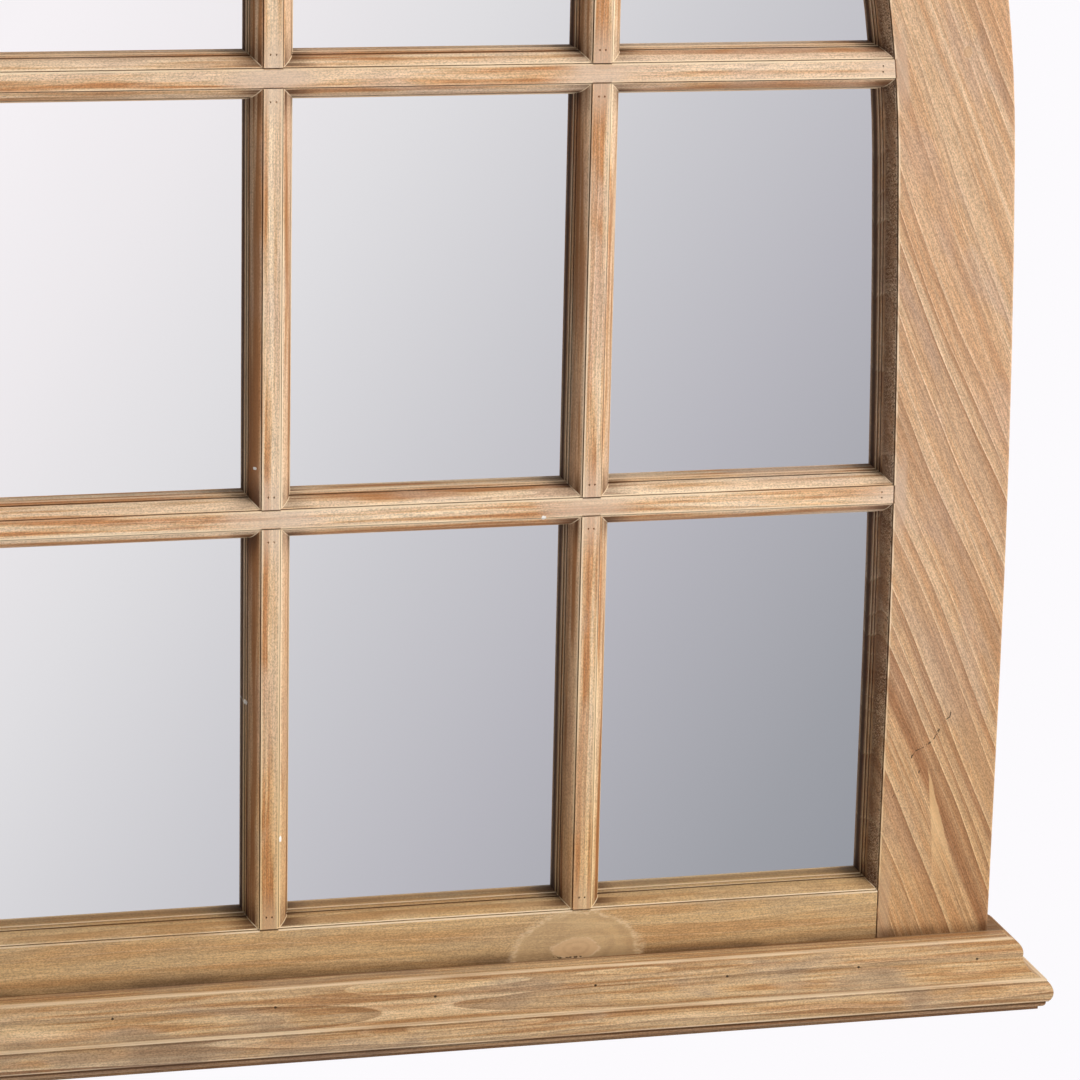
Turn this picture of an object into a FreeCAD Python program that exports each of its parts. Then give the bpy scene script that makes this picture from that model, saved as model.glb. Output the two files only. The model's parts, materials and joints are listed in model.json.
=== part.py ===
import FreeCAD, Part
import math
import os
import re
import Sketcher

# Arched window mirror: one mirror sheet in a moulded softwood frame with an arched head,
# a grid of glazing bars in front of the glass and a moulded sill below it.
#
# Row frame, in millimetres: X to the right across the front, Y into the wall (the front
# faces -Y, the frame's flat back lies on Y = 0), Z up. The origin is the middle of the
# bottom edge of the sill's back.

Vector = FreeCAD.Vector
doc = FreeCAD.newDocument("ArchedWindowMirror")

# ---------------------------------------------------------------- driving sizes
# Lengths in millimetres, turns in degrees.
driving_sizes = {
    # frame boards and arched outline (heights are above the sill's top)
    "frame_width": "898",
    "frame_depth": "28",
    "side_width": "72",
    "arris_radius": "1.2",
    "rail_height": "30.4",
    "spring_height": "172",
    "side_radius": "6970",
    "side_turn": "2.57",
    "haunch_radius": "863",
    "haunch_turn": "7.68",
    "crown_joint_angle": "50",
    # glazing bars
    "bar_face": "10.8",
    "bar_depth": "19",
    "column_count": "4",
    "row_count": "3",
    "outer_pane_gain": "2.4",
    "top_opening": "92.3",
    # moulded edge shared by the frame and the bars
    "sticking_width": "7.9",
    "quirk_width": "0.5",
    "quirk_depth": "1.4",
    "ovolo_rise": "0.9",
    "ovolo_width": "5.7",
    "ovolo_depth": "8.6",
    "ovolo_radius": "8",
    "fillet_width": "0.8",
    "fillet_depth": "9.6",
    "step_depth": "12.8",
    # rebates, mirror sheet and back panel
    "mirror_lap": "8",
    "mirror_play": "1",
    "mirror_thickness": "4",
    "panel_lap": "18",
    "panel_play": "1",
    "panel_thickness": "3",
    # sill board and its moulding
    "sill_height": "42",
    "ledge_front": "14",
    "ledge_side": "8.4",
    "ledge_lip": "1.5",
    "round_width": "5.7",
    "round_drop": "11",
    "round_radius": "9",
    "cove_width": "10.7",
    "cove_drop": "10.9",
    "cove_radius": "14.4",
    "lip_width": "1.4",
    "lip_drop": "0.8",
    "nose_lean": "1.1",
    "nose_drop": "13.1",
    "nose_radius": "9.2",
    "groove_width": "1.2",
    "groove_drop": "1",
    "bead_width": "2.6",
    "bead_drop": "3.1",
    "bead_radius": "3",
    "foot_step": "1",
    # dowels, brads and screws
    "fit_gap": "0.05",
    "dowel_depth": "14",
    "dowel_play": "1",
    "crown_dowel_radius": "4",
    "crown_dowel_length": "40",
    "crown_dowel_spacing": "32",
    "rail_dowel_radius": "3",
    "rail_dowel_length": "30",
    "rail_dowel_low": "8",
    "rail_dowel_high": "19",
    "brad_radius": "0.45",
    "bar_brad_length": "16",
    "bar_brad_setback": "8",
    "bar_brad_spread": "1.7",
    "brad_sink": "1",
    "sill_brad_length": "30",
    "sill_brad_drop": "10",
    "return_brad_depth": "10",
    "brad_from_corner": "22.4",
    "brad_step_1": "76",
    "brad_step_2": "83",
    "brad_step_3": "82",
    "brad_step_4": "98",
    "sill_screw_radius": "2",
    "sill_screw_head": "4",
    "sill_screw_head_height": "2",
    "sill_screw_length": "58",
    "sill_screw_sink": "1",
    "sill_screw_depth": "14",
    "sill_screw_spacing": "200",
    "panel_screw_radius": "1.5",
    "panel_screw_head": "3",
    "panel_screw_head_height": "1.8",
    "panel_screw_length": "11",
    "panel_screw_inset": "13",
    "panel_screw_low_turn": "20",
    "panel_screw_middle_turn": "42",
    "panel_screw_high_turn": "75",
    # hanging hardware and wall pads
    "strap_width": "14",
    "strap_length": "42",
    "strap_thickness": "1",
    "knuckle_wall": "1",
    "knuckle_rise": "0.3",
    "ring_wire_radius": "1.4",
    "ring_half_width": "12",
    "ring_corner": "3.5",
    "ring_side": "10",
    "hanger_screw_radius": "1.75",
    "hanger_screw_head": "3.4",
    "hanger_screw_head_height": "2",
    "hanger_screw_length": "16",
    "hanger_screw_high": "6.6",
    "hanger_screw_low": "34",
    "pad_radius": "7",
    "pad_end_radius": "6",
    "pad_height": "6",
    "pad_setback": "20",
}

sheet = doc.addObject("Spreadsheet::Sheet", "Sizes")
for row, (alias, number) in enumerate(driving_sizes.items(), start=1):
    sheet.set("A%d" % row, alias)
    sheet.set("B%d" % row, number)
    sheet.setAlias("B%d" % row, alias)
doc.recompute()

# ---------------------------------------------------------------- derived sizes
derived = doc.addObject("App::VarSet", "Derived")
derived_sizes = []


def bind(formula):
    """Turn a formula in size names into an expression on the sheet and the derived sizes."""
    def address(match):
        word = match.group()
        if word in driving_sizes:
            return "Sizes." + word
        if word in derived_sizes:
            return "Derived." + word
        return word
    return re.sub(r"[a-z_][a-z_0-9]*", address, str(formula))


def worth(formula):
    """Number that a formula in size names gives now."""
    number = derived.evalExpression(bind(formula))
    return float(getattr(number, "Value", number))


def derive(**formulas):
    """Keep worked-out lengths and turns, each bound to its formula."""
    for name, formula in formulas.items():
        derived.addProperty("App::PropertyFloat", name)
        derived.setExpression(name, bind(formula))
        derived_sizes.append(name)
    doc.recompute()


# frame boards: half widths from the middle of the mirror, and the line where the glass starts
derive(
    half_width="frame_width / 2",
    glass_line="side_width + sticking_width",
    bar_width="bar_face + 2 * sticking_width",
    rail_top="sill_height + rail_height",
)
derive(
    inner_half="half_width - side_width",
    glass_half="half_width - glass_line",
)
# depths, from the frame's front face back to the wall
derive(front="-frame_depth", mirror_front="bar_depth - frame_depth")
derive(mirror_back="mirror_front + mirror_thickness")
derive(panel_back="mirror_back + panel_thickness")
# outer outline: upright, a very flat side arc, a haunch arc and the crown arc, all tangent
derive(
    spring_z="sill_height + spring_height",
    side_centre_x="half_width - side_radius",
    crown_turn="side_turn + haunch_turn",
)
derive(
    haunch_x="side_centre_x + side_radius * cos(side_turn)",
    haunch_z="spring_z + side_radius * sin(side_turn)",
)
derive(
    haunch_centre_x="haunch_x - haunch_radius * cos(side_turn)",
    haunch_centre_z="haunch_z - haunch_radius * sin(side_turn)",
)
derive(
    crown_x="haunch_centre_x + haunch_radius * cos(crown_turn)",
    crown_z="haunch_centre_z + haunch_radius * sin(crown_turn)",
)
derive(crown_radius="crown_x / cos(crown_turn)")
derive(crown_centre_z="crown_z - crown_radius * sin(crown_turn)")
# glazing: equal inner columns and slightly wider outer ones; full rows below the top panes
derive(
    bar_pitch="(2 * glass_half + bar_width - 2 * outer_pane_gain) / column_count",
    inner_apex="crown_centre_z + crown_radius - side_width",
)
derive(row_pitch="(inner_apex - top_opening - rail_top) / row_count")

# ---------------------------------------------------------------- sketches and features


def centre_of_arc(start, end, radius):
    """Centre of an arc from start to end; a positive radius has it on the left of the way."""
    chord = end - start
    middle = (start + end) * 0.5
    height = math.sqrt(radius ** 2 - (chord.Length / 2) ** 2)
    left = Vector(-chord.y, chord.x, 0).normalize()
    return middle + left * height * math.copysign(1, radius)


def add_edge(sketch, start, end, radius):
    """Add a line, or an arc if a radius is given; return its number and its two end marks."""
    if radius is None:
        return sketch.addGeometry(Part.LineSegment(start, end)), 1, 2
    centre = centre_of_arc(start, end, radius)
    circle = Part.Circle(centre, Vector(0, 0, 1), abs(radius))
    first, last = (start, end) if radius > 0 else (end, start)
    angles = [math.atan2(p.y - centre.y, p.x - centre.x) for p in (first, last)]
    edge = sketch.addGeometry(Part.ArcOfCircle(circle, angles[0], angles[1]))
    return (edge, 1, 2) if radius > 0 else (edge, 2, 1)


def bind_constraint(sketch, formula, kind, *places):
    """Add a dimension to the sketch and bind it to its formula."""
    number = sketch.addConstraint(Sketcher.Constraint(kind, *places, worth(formula)))
    sketch.setExpression("Constraints[%d]" % number, bind(formula))


def bind_point(sketch, corner, edge, mark):
    bind_constraint(sketch, corner[0], "DistanceX", edge, mark)
    bind_constraint(sketch, corner[1], "DistanceY", edge, mark)


def new_sketch(body, name, plane, lift="0"):
    """Sketch on one of the body's own origin planes, moved along its normal by lift."""
    sketch = body.newObject("Sketcher::SketchObject", body.Name + "_" + name)
    origin_plane = next(f for f in body.Origin.OriginFeatures if f.Role == plane)
    sketch.AttachmentSupport = (origin_plane, [""])
    sketch.MapMode = "FlatFace"
    sketch.setExpression("AttachmentOffset.Base.z", bind(lift))
    return sketch


def turn_of(spots):
    """+1 if a closed walk runs anticlockwise, -1 if clockwise."""
    area = sum(p.x * q.y - q.x * p.y for p, q in zip(spots, spots[1:] + spots[:1]))
    return math.copysign(1, area)


def outline(sketch, corners, closed=True):
    """Draw through corners (x formula, y formula, optional radius of the edge that follows).

    A positive radius swells out of a closed outline and a negative one is hollow; on an
    open path a positive radius turns left. Coordinates and radii are all bound.
    """
    spots = [Vector(worth(c[0]), worth(c[1]), 0) for c in corners]
    turn = turn_of(spots) if closed else 1
    count = len(corners) if closed else len(corners) - 1
    edges = []
    for i in range(count):
        radius = turn * worth(corners[i][2]) if len(corners[i]) > 2 else None
        edges.append(add_edge(sketch, spots[i], spots[(i + 1) % len(spots)], radius))
    for i, (edge, start, end) in enumerate(edges):
        bind_point(sketch, corners[i], edge, start)
        if len(corners[i]) > 2:
            bind_constraint(sketch, "abs(%s)" % corners[i][2], "Radius", edge)
        if closed or i + 1 < count:
            following = edges[(i + 1) % count]
            joint = Sketcher.Constraint("Coincident", edge, end, following[0], following[1])
            sketch.addConstraint(joint)
    if not closed:
        bind_point(sketch, corners[-1], edges[-1][0], edges[-1][2])


def circle(sketch, x, y, radius):
    spot = Vector(worth(x), worth(y), 0)
    edge = sketch.addGeometry(Part.Circle(spot, Vector(0, 0, 1), worth(radius)))
    bind_point(sketch, (x, y), edge, 3)
    bind_constraint(sketch, radius, "Radius", edge)


def new_body(name):
    return doc.addObject("PartDesign::Body", name)


def pad(body, sketch, length, both_ways=False, reverse=False):
    feature = body.newObject("PartDesign::Pad", sketch.Name + "_pad")
    feature.Profile = sketch
    feature.SideType = "Symmetric" if both_ways else "One side"
    feature.Reversed = reverse
    feature.setExpression("Length", bind(length))


def pocket(body, sketch):
    """Cut right through the body along the sketch's normal, both ways."""
    feature = body.newObject("PartDesign::Pocket", sketch.Name + "_pocket")
    feature.Profile = sketch
    feature.SideType = "Symmetric"
    feature.Type = "ThroughAll"


def pipe(body, section, path):
    feature = body.newObject("PartDesign::AdditivePipe", body.Name + "_pipe")
    feature.Profile = section
    feature.Spine = (path, [""])


def bind_place(solid, base, axis, **formulas):
    """Bind a primitive's sizes and base point, and turn its Z axis to the direction."""
    for name, formula in formulas.items():
        solid.setExpression(name, bind(formula))
    solid.Placement.Rotation = FreeCAD.Rotation(Vector(0, 0, 1), Vector(*axis))
    for letter, formula in zip("xyz", base):
        solid.setExpression("Placement.Base." + letter, bind(formula))
    return solid


def cylinder(name, radius, length, base, axis=(0, 0, 1)):
    """Cylinder from its base point (three formulas) along a fixed direction."""
    solid = doc.addObject("Part::Cylinder", name)
    return bind_place(solid, base, axis, Radius=radius, Height=length)


def cone(name, radius, end_radius, length, base, axis=(0, 0, 1)):
    solid = doc.addObject("Part::Cone", name)
    return bind_place(solid, base, axis, Radius1=radius, Radius2=end_radius, Height=length)


def group(label, members):
    """Several separate solids in one object."""
    compound = doc.addObject("Part::Compound", label)
    compound.Links = members
    return compound


def fuse(label, members):
    solid = doc.addObject("Part::MultiFuse", label)
    solid.Shapes = members
    return solid


def cut(label, base, tools):
    """Base less all the tools."""
    solid = doc.addObject("Part::Cut", label)
    solid.Base = base
    solid.Tool = tools[0] if len(tools) == 1 else group(label + "_tools", tools)
    return solid


def mirrored(label, source):
    """The same piece on the other side of the mirror's middle."""
    solid = doc.addObject("Part::Mirroring", label)
    solid.Source = source
    solid.Normal = Vector(1, 0, 0)
    return solid


def signed(side, formula):
    return "-(%s)" % formula if side < 0 else formula


def both(solid):
    """A solid on the right side and its mirror image on the left."""
    return [solid, mirrored("left_" + solid.Name, solid)]


def along(base, axis, distance):
    """Point at a distance from the base along an axis."""
    steps = Vector(*axis).normalize()
    return ["%s + (%s) * (%.9g)" % (b, distance, a) for b, a in zip(base, steps)]


def bore(name, radius, length, base, axis, lead="fit_gap"):
    """Hole for a pin that starts at the base; the hole starts sooner by the lead."""
    reach = "%s + %s + fit_gap" % (length, lead)
    start = along(base, axis, "-(%s)" % lead)
    return cylinder(name + "_bore", radius + " + fit_gap", reach, start, axis)


def pan_screw(kind, name, base, axis):
    """Screw with a flat round head; the base is the middle of the head's underside."""
    height = kind + "_head_height"
    shank = cylinder(name + "_shank", kind + "_radius", kind + "_length", base, axis)
    head = cylinder(name + "_head", kind + "_head", height,
                    along(base, axis, "-" + height), axis)
    return fuse(name, [shank, head])


pieces = []


def keep(piece):
    """List a finished piece; its label is the name of its node and file."""
    pieces.append(piece)
    return piece


# ---------------------------------------------------------------- sections
# Each corner is (distance across from the face's edge towards the glass, depth from the
# front face, radius of the edge that follows).
quirk = [
    ("0", "0"),
    ("0", "quirk_depth"),
    ("quirk_width", "quirk_depth"),
]
# A neighbour is coped over the moulding but leaves the quirk open, so that the shape it is
# cut to has the quirk filled up to the face.
filled_quirk = [
    ("0", "0"),
    ("quirk_width", "0"),
]
moulding = [
    ("quirk_width", "ovolo_rise", "ovolo_radius"),
    ("quirk_width + ovolo_width", "ovolo_depth"),
    ("quirk_width + ovolo_width", "fillet_depth"),
    ("quirk_width + ovolo_width + fillet_width", "fillet_depth"),
    ("quirk_width + ovolo_width + fillet_width", "step_depth"),
    ("sticking_width", "step_depth"),
    ("sticking_width", "bar_depth"),
]
# How a board's outer edge meets its face.
rounded_arris = [
    ("-side_width", "arris_radius", "arris_radius"),
    ("arris_radius - side_width", "0"),
]
square_arris = [
    ("-rail_height", "0"),
]


def walk_back(corners):
    """The same walk from its last corner to its first, each radius on its own edge."""
    back = [corners[-1][:2] + corners[-2][2:]]
    for i in range(len(corners) - 2, -1, -1):
        back.append(corners[i][:2] + (corners[i - 1][2:] if i else ()))
    return back


def board_section(outer, width, start):
    """Frame board: flat face, moulded edge, a rebate for the mirror and one for the panel."""
    return outer + start + moulding + [
        ("sticking_width - mirror_lap", "bar_depth"),
        ("sticking_width - mirror_lap", "bar_depth + mirror_thickness"),
        ("sticking_width - panel_lap", "bar_depth + mirror_thickness"),
        ("sticking_width - panel_lap", "frame_depth"),
        ("-" + width, "frame_depth"),
    ]


def bar_section(start):
    """Glazing bar: a narrow face between two moulded edges, measured from its middle."""
    right = [("bar_face / 2 + " + c[0],) + c[1:] for c in start + moulding]
    left = [("-bar_face / 2 - (%s)" % c[0],) + c[1:] for c in start + moulding]
    return right + walk_back(left)


def lay(section, across, across_first):
    """Place a section in a sketch: across(distance) is the formula of one coordinate."""
    corners = []
    for corner in section:
        spot = (across(corner[0]), "front + " + corner[1])
        corners.append((spot if across_first else spot[::-1]) + corner[2:])
    return corners


# ---------------------------------------------------------------- outline of the frame
def edge_x(z, inset):
    """Half width of the frame at height z, for a line that lies inset from its outer edge."""
    height = worth(z)
    if height <= worth("spring_z"):
        return "half_width - (%s)" % inset
    if height <= worth("haunch_z"):
        arc = ("side_centre_x", "spring_z", "side_radius")
    elif height <= worth("crown_z"):
        arc = ("haunch_centre_x", "haunch_centre_z", "haunch_radius")
    else:
        arc = ("0", "crown_centre_z", "crown_radius")
    return "%s + sqrt((%s - (%s))^2 - (%s - %s)^2)" % (arc[0], arc[2], inset, z, arc[1])


def crown_top(x, inset):
    """Height of the crown arc at x, for a line that lies inset from the outer edge."""
    return "crown_centre_z + sqrt((crown_radius - (%s))^2 - (%s)^2)" % (inset, x)


def on_arc(centre_x, centre_z, radius, inset, turn):
    reach = "(%s - (%s))" % (radius, inset)
    return ("%s + %s * cos(%s)" % (centre_x, reach, turn),
            "%s + %s * sin(%s)" % (centre_z, reach, turn))


def haunch_start(inset):
    return on_arc("side_centre_x", "spring_z", "side_radius", inset, "side_turn")


def crown_start(inset):
    return on_arc("haunch_centre_x", "haunch_centre_z", "haunch_radius", inset, "crown_turn")


def arched_sheet(body, inset, foot, back, thickness):
    """Arched plate that follows the frame's outline, inset from its outer edge."""
    side = "half_width - (%s)" % inset
    x_haunch, z_haunch = haunch_start(inset)
    x_crown, z_crown = crown_start(inset)
    arcs = ["%s - (%s)" % (r, inset) for r in ("side_radius", "haunch_radius", "crown_radius")]
    sketch = new_sketch(body, "outline", "XZ_Plane", "-(%s)" % back)
    outline(sketch, [
        (side, foot),
        (side, "spring_z", arcs[0]),
        (x_haunch, z_haunch, arcs[1]),
        (x_crown, z_crown, arcs[2]),
        (signed(-1, x_crown), z_crown, arcs[1]),
        (signed(-1, x_haunch), z_haunch, arcs[0]),
        (signed(-1, side), "spring_z"),
        (signed(-1, side), foot),
    ])
    pad(body, sketch, thickness)


# ---------------------------------------------------------------- frame boards, undrilled
def side_body(name, start):
    """Section swept from the sill up the side, round the haunch, to the crown board."""
    body = new_body(name)
    section = new_sketch(body, "section", "XY_Plane", "sill_height")
    corners = board_section(rounded_arris, "side_width", start)
    outline(section, lay(corners, lambda u: "inner_half - (%s)" % u, True))
    path = new_sketch(body, "path", "XZ_Plane")
    outline(path, [
        ("half_width", "sill_height"),
        ("half_width", "spring_z", "side_radius"),
        ("haunch_x", "haunch_z", "haunch_radius"),
        ("crown_x", "crown_z", "crown_radius"),
        on_arc("0", "crown_centre_z", "crown_radius", "0", "crown_joint_angle"),
    ], closed=False)
    pipe(body, section, path)
    return body


def crown_body(name, start):
    """The side boards' section turned about the crown arc's centre."""
    body = new_body(name)
    section = new_sketch(body, "section", "YZ_Plane")
    centre = Vector(0, worth("crown_centre_z"), 0)
    axle = section.addGeometry(Part.LineSegment(centre, centre - Vector(1, 0, 0)), True)
    bind_point(section, ("0", "crown_centre_z"), axle, 1)
    bind_point(section, ("-1", "crown_centre_z"), axle, 2)
    corners = board_section(rounded_arris, "side_width", start)
    inner_radius = "crown_centre_z + crown_radius - side_width"
    outline(section, lay(corners, lambda u: "%s - (%s)" % (inner_radius, u), False))
    turning = body.newObject("PartDesign::Revolution", name + "_turning")
    turning.Profile = section
    turning.ReferenceAxis = (section, ["Axis0"])
    turning.Midplane = True
    turning.setExpression("Angle", bind("2 * (90 - crown_joint_angle)"))
    return body


def rail_body(name, start):
    body = new_body(name)
    section = new_sketch(body, "section", "YZ_Plane")
    corners = board_section(square_arris, "rail_height", start)
    outline(section, lay(corners, lambda u: "rail_top + " + u, False))
    pad(body, section, "2 * (glass_half + panel_lap)", both_ways=True)
    return body


def cross_body(name, height, start):
    body = new_body(name)
    section = new_sketch(body, "section", "YZ_Plane")
    outline(section, lay(bar_section(start), lambda u: "%s + (%s)" % (height, u), False))
    pad(body, section, "2 * (%s)" % edge_x(height, "side_width / 2"), both_ways=True)
    return body


side_blank = side_body("side_blank", quirk)
side_cope = side_body("side_cope", filled_quirk)
side_copes = both(side_cope)
crown_blank = crown_body("crown_blank", quirk)
crown_cope = crown_body("crown_cope", filled_quirk)
rail_blank = rail_body("rail_blank", quirk)
rail_cope = rail_body("rail_cope", filled_quirk)

# ---------------------------------------------------------------- glazing bars, coped
columns = round(worth("column_count"))
upright_places = ["%g * bar_pitch" % (i - columns / 2) for i in range(1, columns)]
cross_heights = [
    "rail_top + %d * row_pitch - bar_face / 2" % number
    for number in range(1, round(worth("row_count")) + 1)
]

cross_blanks = []
cross_copes = []
for row, height in enumerate(cross_heights, start=1):
    cross_blanks.append(cross_body("cross_blank_%d" % row, height, quirk))
    cross_copes.append(cross_body("cross_cope_%d" % row, height, filled_quirk))

# Row by row: the formulas of the lower and upper joint, and what the uprights are coped over.
uprights = []
for row in range(len(cross_heights) + 1):
    foot = cross_heights[row - 1] + " + bar_face / 2" if row else "rail_top"
    foot_cope = cross_copes[row - 1] if row else rail_cope
    for column, x in enumerate(upright_places, start=1):
        if row < len(cross_heights):
            top = cross_heights[row] + " - bar_face / 2"
            top_cope = cross_copes[row]
        else:
            top = crown_top(x, "side_width")
            top_cope = crown_cope
        label = "row_%d_upright_%d" % (row + 1, column)
        blank = new_body(label + "_blank")
        section = new_sketch(blank, "section", "XY_Plane", "%s - bar_face / 2" % foot)
        outline(section, lay(bar_section(quirk), lambda u: "%s + (%s)" % (x, u), True))
        end = crown_top(x, "side_width / 2") if top_cope is crown_cope else cross_heights[row]
        pad(blank, section, "%s - (%s - bar_face / 2)" % (end, foot))
        uprights.append({
            "label": label, "x": x, "blank": blank, "foot": foot, "top": top,
            "copes": (foot_cope, top_cope),
        })

# ---------------------------------------------------------------- sill board and moulding
ledge_half = "half_width + ledge_side"
ledge_line = "front - ledge_front"

sill_blank = new_body("sill_blank")
sill_outline = new_sketch(sill_blank, "outline", "XY_Plane")
outline(sill_outline, [
    ("-(%s)" % ledge_half, ledge_line),
    (ledge_half, ledge_line),
    (ledge_half, "0"),
    ("-(%s)" % ledge_half, "0"),
])
pad(sill_blank, sill_outline, "sill_height")

# Moulding from the top down, as steps: outwards, down, radius of the edge between.
moulding_steps = [
    ("ledge_lip", "0"),
    ("round_width", "round_drop", "round_radius"),
    ("cove_width", "cove_drop", "-cove_radius"),
    ("lip_width", "0"),
    ("0", "lip_drop"),
    ("nose_lean", "nose_drop", "nose_radius"),
    ("-groove_width", "0"),
    ("0", "groove_drop"),
    ("-bead_width", "bead_drop", "bead_radius"),
    ("-foot_step", "0"),
]


def moulding_section(outwards):
    """Corners of the moulding's section; outwards(distance) is the formula across."""
    corners = []
    out, down = "0", "0"
    for step in moulding_steps:
        corners.append((outwards(out), "sill_height - (%s)" % down) + step[2:])
        out += " + " + step[0]
        down += " + " + step[1]
    corners.append((outwards(out), "sill_height - (%s)" % down))
    corners.append((outwards(out), "0"))
    corners.append((outwards("0"), "0"))
    return corners


# The front piece and its returns meet at mitres that start from the ledge's corners.
front_blank = new_body("front_moulding_blank")
front_section = new_sketch(front_blank, "section", "YZ_Plane")
outline(front_section, moulding_section(lambda u: "%s - (%s)" % (ledge_line, u)))
pad(front_blank, front_section, "2 * (%s + sill_height)" % ledge_half, both_ways=True)
front_mitres = new_sketch(front_blank, "mitres", "XY_Plane")
for side in (-1, 1):
    outline(front_mitres, [
        (signed(side, ledge_half), ledge_line),
        (signed(side, ledge_half + " + sill_height"), ledge_line),
        (signed(side, ledge_half + " + sill_height"), ledge_line + " - sill_height"),
    ])
pocket(front_blank, front_mitres)

return_blank = new_body("return_blank")
return_section = new_sketch(return_blank, "section", "XZ_Plane")
outline(return_section, moulding_section(lambda u: "%s + %s" % (ledge_half, u)))
pad(return_blank, return_section, "sill_height - (%s)" % ledge_line)
return_mitre = new_sketch(return_blank, "mitre", "XY_Plane")
outline(return_mitre, [
    (ledge_half, ledge_line),
    (ledge_half, ledge_line + " - sill_height"),
    (ledge_half + " + sill_height", ledge_line + " - sill_height"),
])
pocket(return_blank, return_mitre)

# ---------------------------------------------------------------- mirror sheet, back panel
mirror_sheet = new_body("mirror_sheet")
arched_sheet(
    mirror_sheet, "glass_line - mirror_lap + mirror_play",
    "rail_top + sticking_width - mirror_lap + mirror_play", "mirror_back", "mirror_thickness")
keep(mirror_sheet)

panel_blank = new_body("panel_blank")
arched_sheet(
    panel_blank, "glass_line - panel_lap + panel_play",
    "rail_top + sticking_width - panel_lap + panel_play", "panel_back", "panel_thickness")

# ---------------------------------------------------------------- dowels
side_bores = []
crown_bores = []
rail_bores = []
sill_bores = []
panel_bores = []

crown_dowels = []
for place, sign in (("inner", -1), ("outer", 1)):
    radius = "(crown_radius - side_width / 2 + %d * crown_dowel_spacing / 2)" % sign
    for name, wide, half, members in (
            ("dowel", "0", "crown_dowel_length / 2", crown_dowels),
            ("bore", "fit_gap", "(crown_dowel_length / 2 + dowel_play)", side_bores)):
        base = (
            "%s * cos(crown_joint_angle) + %s * sin(crown_joint_angle)" % (radius, half),
            "-dowel_depth",
            "crown_centre_z + %s * sin(crown_joint_angle) - %s * cos(crown_joint_angle)" % (
                radius, half))
        peg = cylinder("%s_crown_%s" % (place, name), "crown_dowel_radius + " + wide,
                       "2 * " + half, base, (-1, 0, 1))
        peg.setExpression("Placement.Rotation.Angle", bind("crown_joint_angle"))
        members.append(peg)
for peg in side_bores:
    crown_bores += both(peg)
crown_dowels += [mirrored("left_" + peg.Name, peg) for peg in crown_dowels]
keep(group("crown_dowels", crown_dowels))

rail_dowels = []
for place in ("rail_dowel_low", "rail_dowel_high"):
    base = ("glass_half - rail_dowel_length / 2", "-dowel_depth", "sill_height + " + place)
    peg = cylinder(place, "rail_dowel_radius", "rail_dowel_length", base, (1, 0, 0))
    rail_dowels += both(peg)
    hole = bore(place, "rail_dowel_radius", "rail_dowel_length", base, (1, 0, 0), "dowel_play")
    side_bores.append(hole)
    rail_bores += both(hole)
keep(group("rail_dowels", rail_dowels))

# ---------------------------------------------------------------- brads of the glazing bars
bar_brads = []
cross_bores = {cope: [] for cope in cross_copes}


def nail(name, x, z, axis):
    """One slanted brad that starts at a point of the front face; return it and its hole."""
    spot = (x, "front", z)
    brad = cylinder(name, "brad_radius", "bar_brad_length", along(spot, axis, "brad_sink"), axis)
    hole = bore(name, "brad_radius", "brad_sink + bar_brad_length", spot, axis, "brad_sink")
    return brad, hole


# The top bar can end beside the joint of the side and crown boards, so both are drilled.
for row, (height, cope) in enumerate(zip(cross_heights, cross_copes), start=1):
    x = "%s - bar_brad_setback" % edge_x(height, "side_width")
    for sign in (-1, 1):
        z = "%s + %d * bar_brad_spread" % (height, sign)
        name = "cross_%d_brad_%d" % (row, len(bar_brads))
        brad, hole = nail(name, x, z, (1, 1, 0))
        bar_brads += both(brad)
        side_bores.append(hole)
        pair = both(hole)
        crown_bores += pair
        cross_bores[cope] += pair

for upright in uprights:
    upright["bores"] = []
    ends = (
        (upright["copes"][0], upright["foot"] + " + bar_brad_setback", (0, 1, -1)),
        (upright["copes"][1], upright["top"] + " - bar_brad_setback", (0, 1, 1)),
    )
    for neighbour, z, axis in ends:
        for sign in (-1, 1):
            x = "%s + %d * bar_brad_spread" % (upright["x"], sign)
            name = "%s_brad_%d" % (upright["label"], len(bar_brads))
            brad, hole = nail(name, x, z, axis)
            bar_brads.append(brad)
            upright["bores"].append(hole)
            if neighbour is rail_cope:
                rail_bores.append(hole)
            elif neighbour is crown_cope:
                crown_bores.append(hole)
            else:
                cross_bores[neighbour].append(hole)
keep(group("bar_brads", bar_brads))

# ---------------------------------------------------------------- brads of the sill moulding
sill_brads = []
front_bores = []
return_bores = []
brad_height = "sill_height - sill_brad_drop"
swell = "ledge_lip + round_width"
nail_length = "brad_sink + sill_brad_length"
brad_places = ["0"]
place = ledge_half + " - brad_from_corner"
for step in ("brad_step_1", "brad_step_2", "brad_step_3", "brad_step_4", "0"):
    brad_places.append(place)
    place += " - " + step
for number, place in enumerate(brad_places):
    spot = (place, "%s - (%s)" % (ledge_line, swell), brad_height)
    name = "front_brad_%d" % number
    base = along(spot, (0, 1, 0), "brad_sink")
    brad = cylinder(name, "brad_radius", "sill_brad_length", base, (0, 1, 0))
    hole = bore(name, "brad_radius", nail_length, spot, (0, 1, 0), "brad_sink")
    sill_brads += [brad] if place == "0" else both(brad)
    holes = [hole] if place == "0" else both(hole)
    front_bores += holes
    sill_bores += holes
spot = ("%s + %s" % (ledge_half, swell), "-return_brad_depth", brad_height)
base = along(spot, (-1, 0, 0), "brad_sink")
sill_brads += both(
    cylinder("return_brad", "brad_radius", "sill_brad_length", base, (-1, 0, 0)))
return_bores.append(
    bore("return_brad", "brad_radius", nail_length, spot, (-1, 0, 0), "brad_sink"))
sill_bores += both(return_bores[0])
keep(group("sill_brads", sill_brads))

# ---------------------------------------------------------------- screws up through the sill


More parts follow.
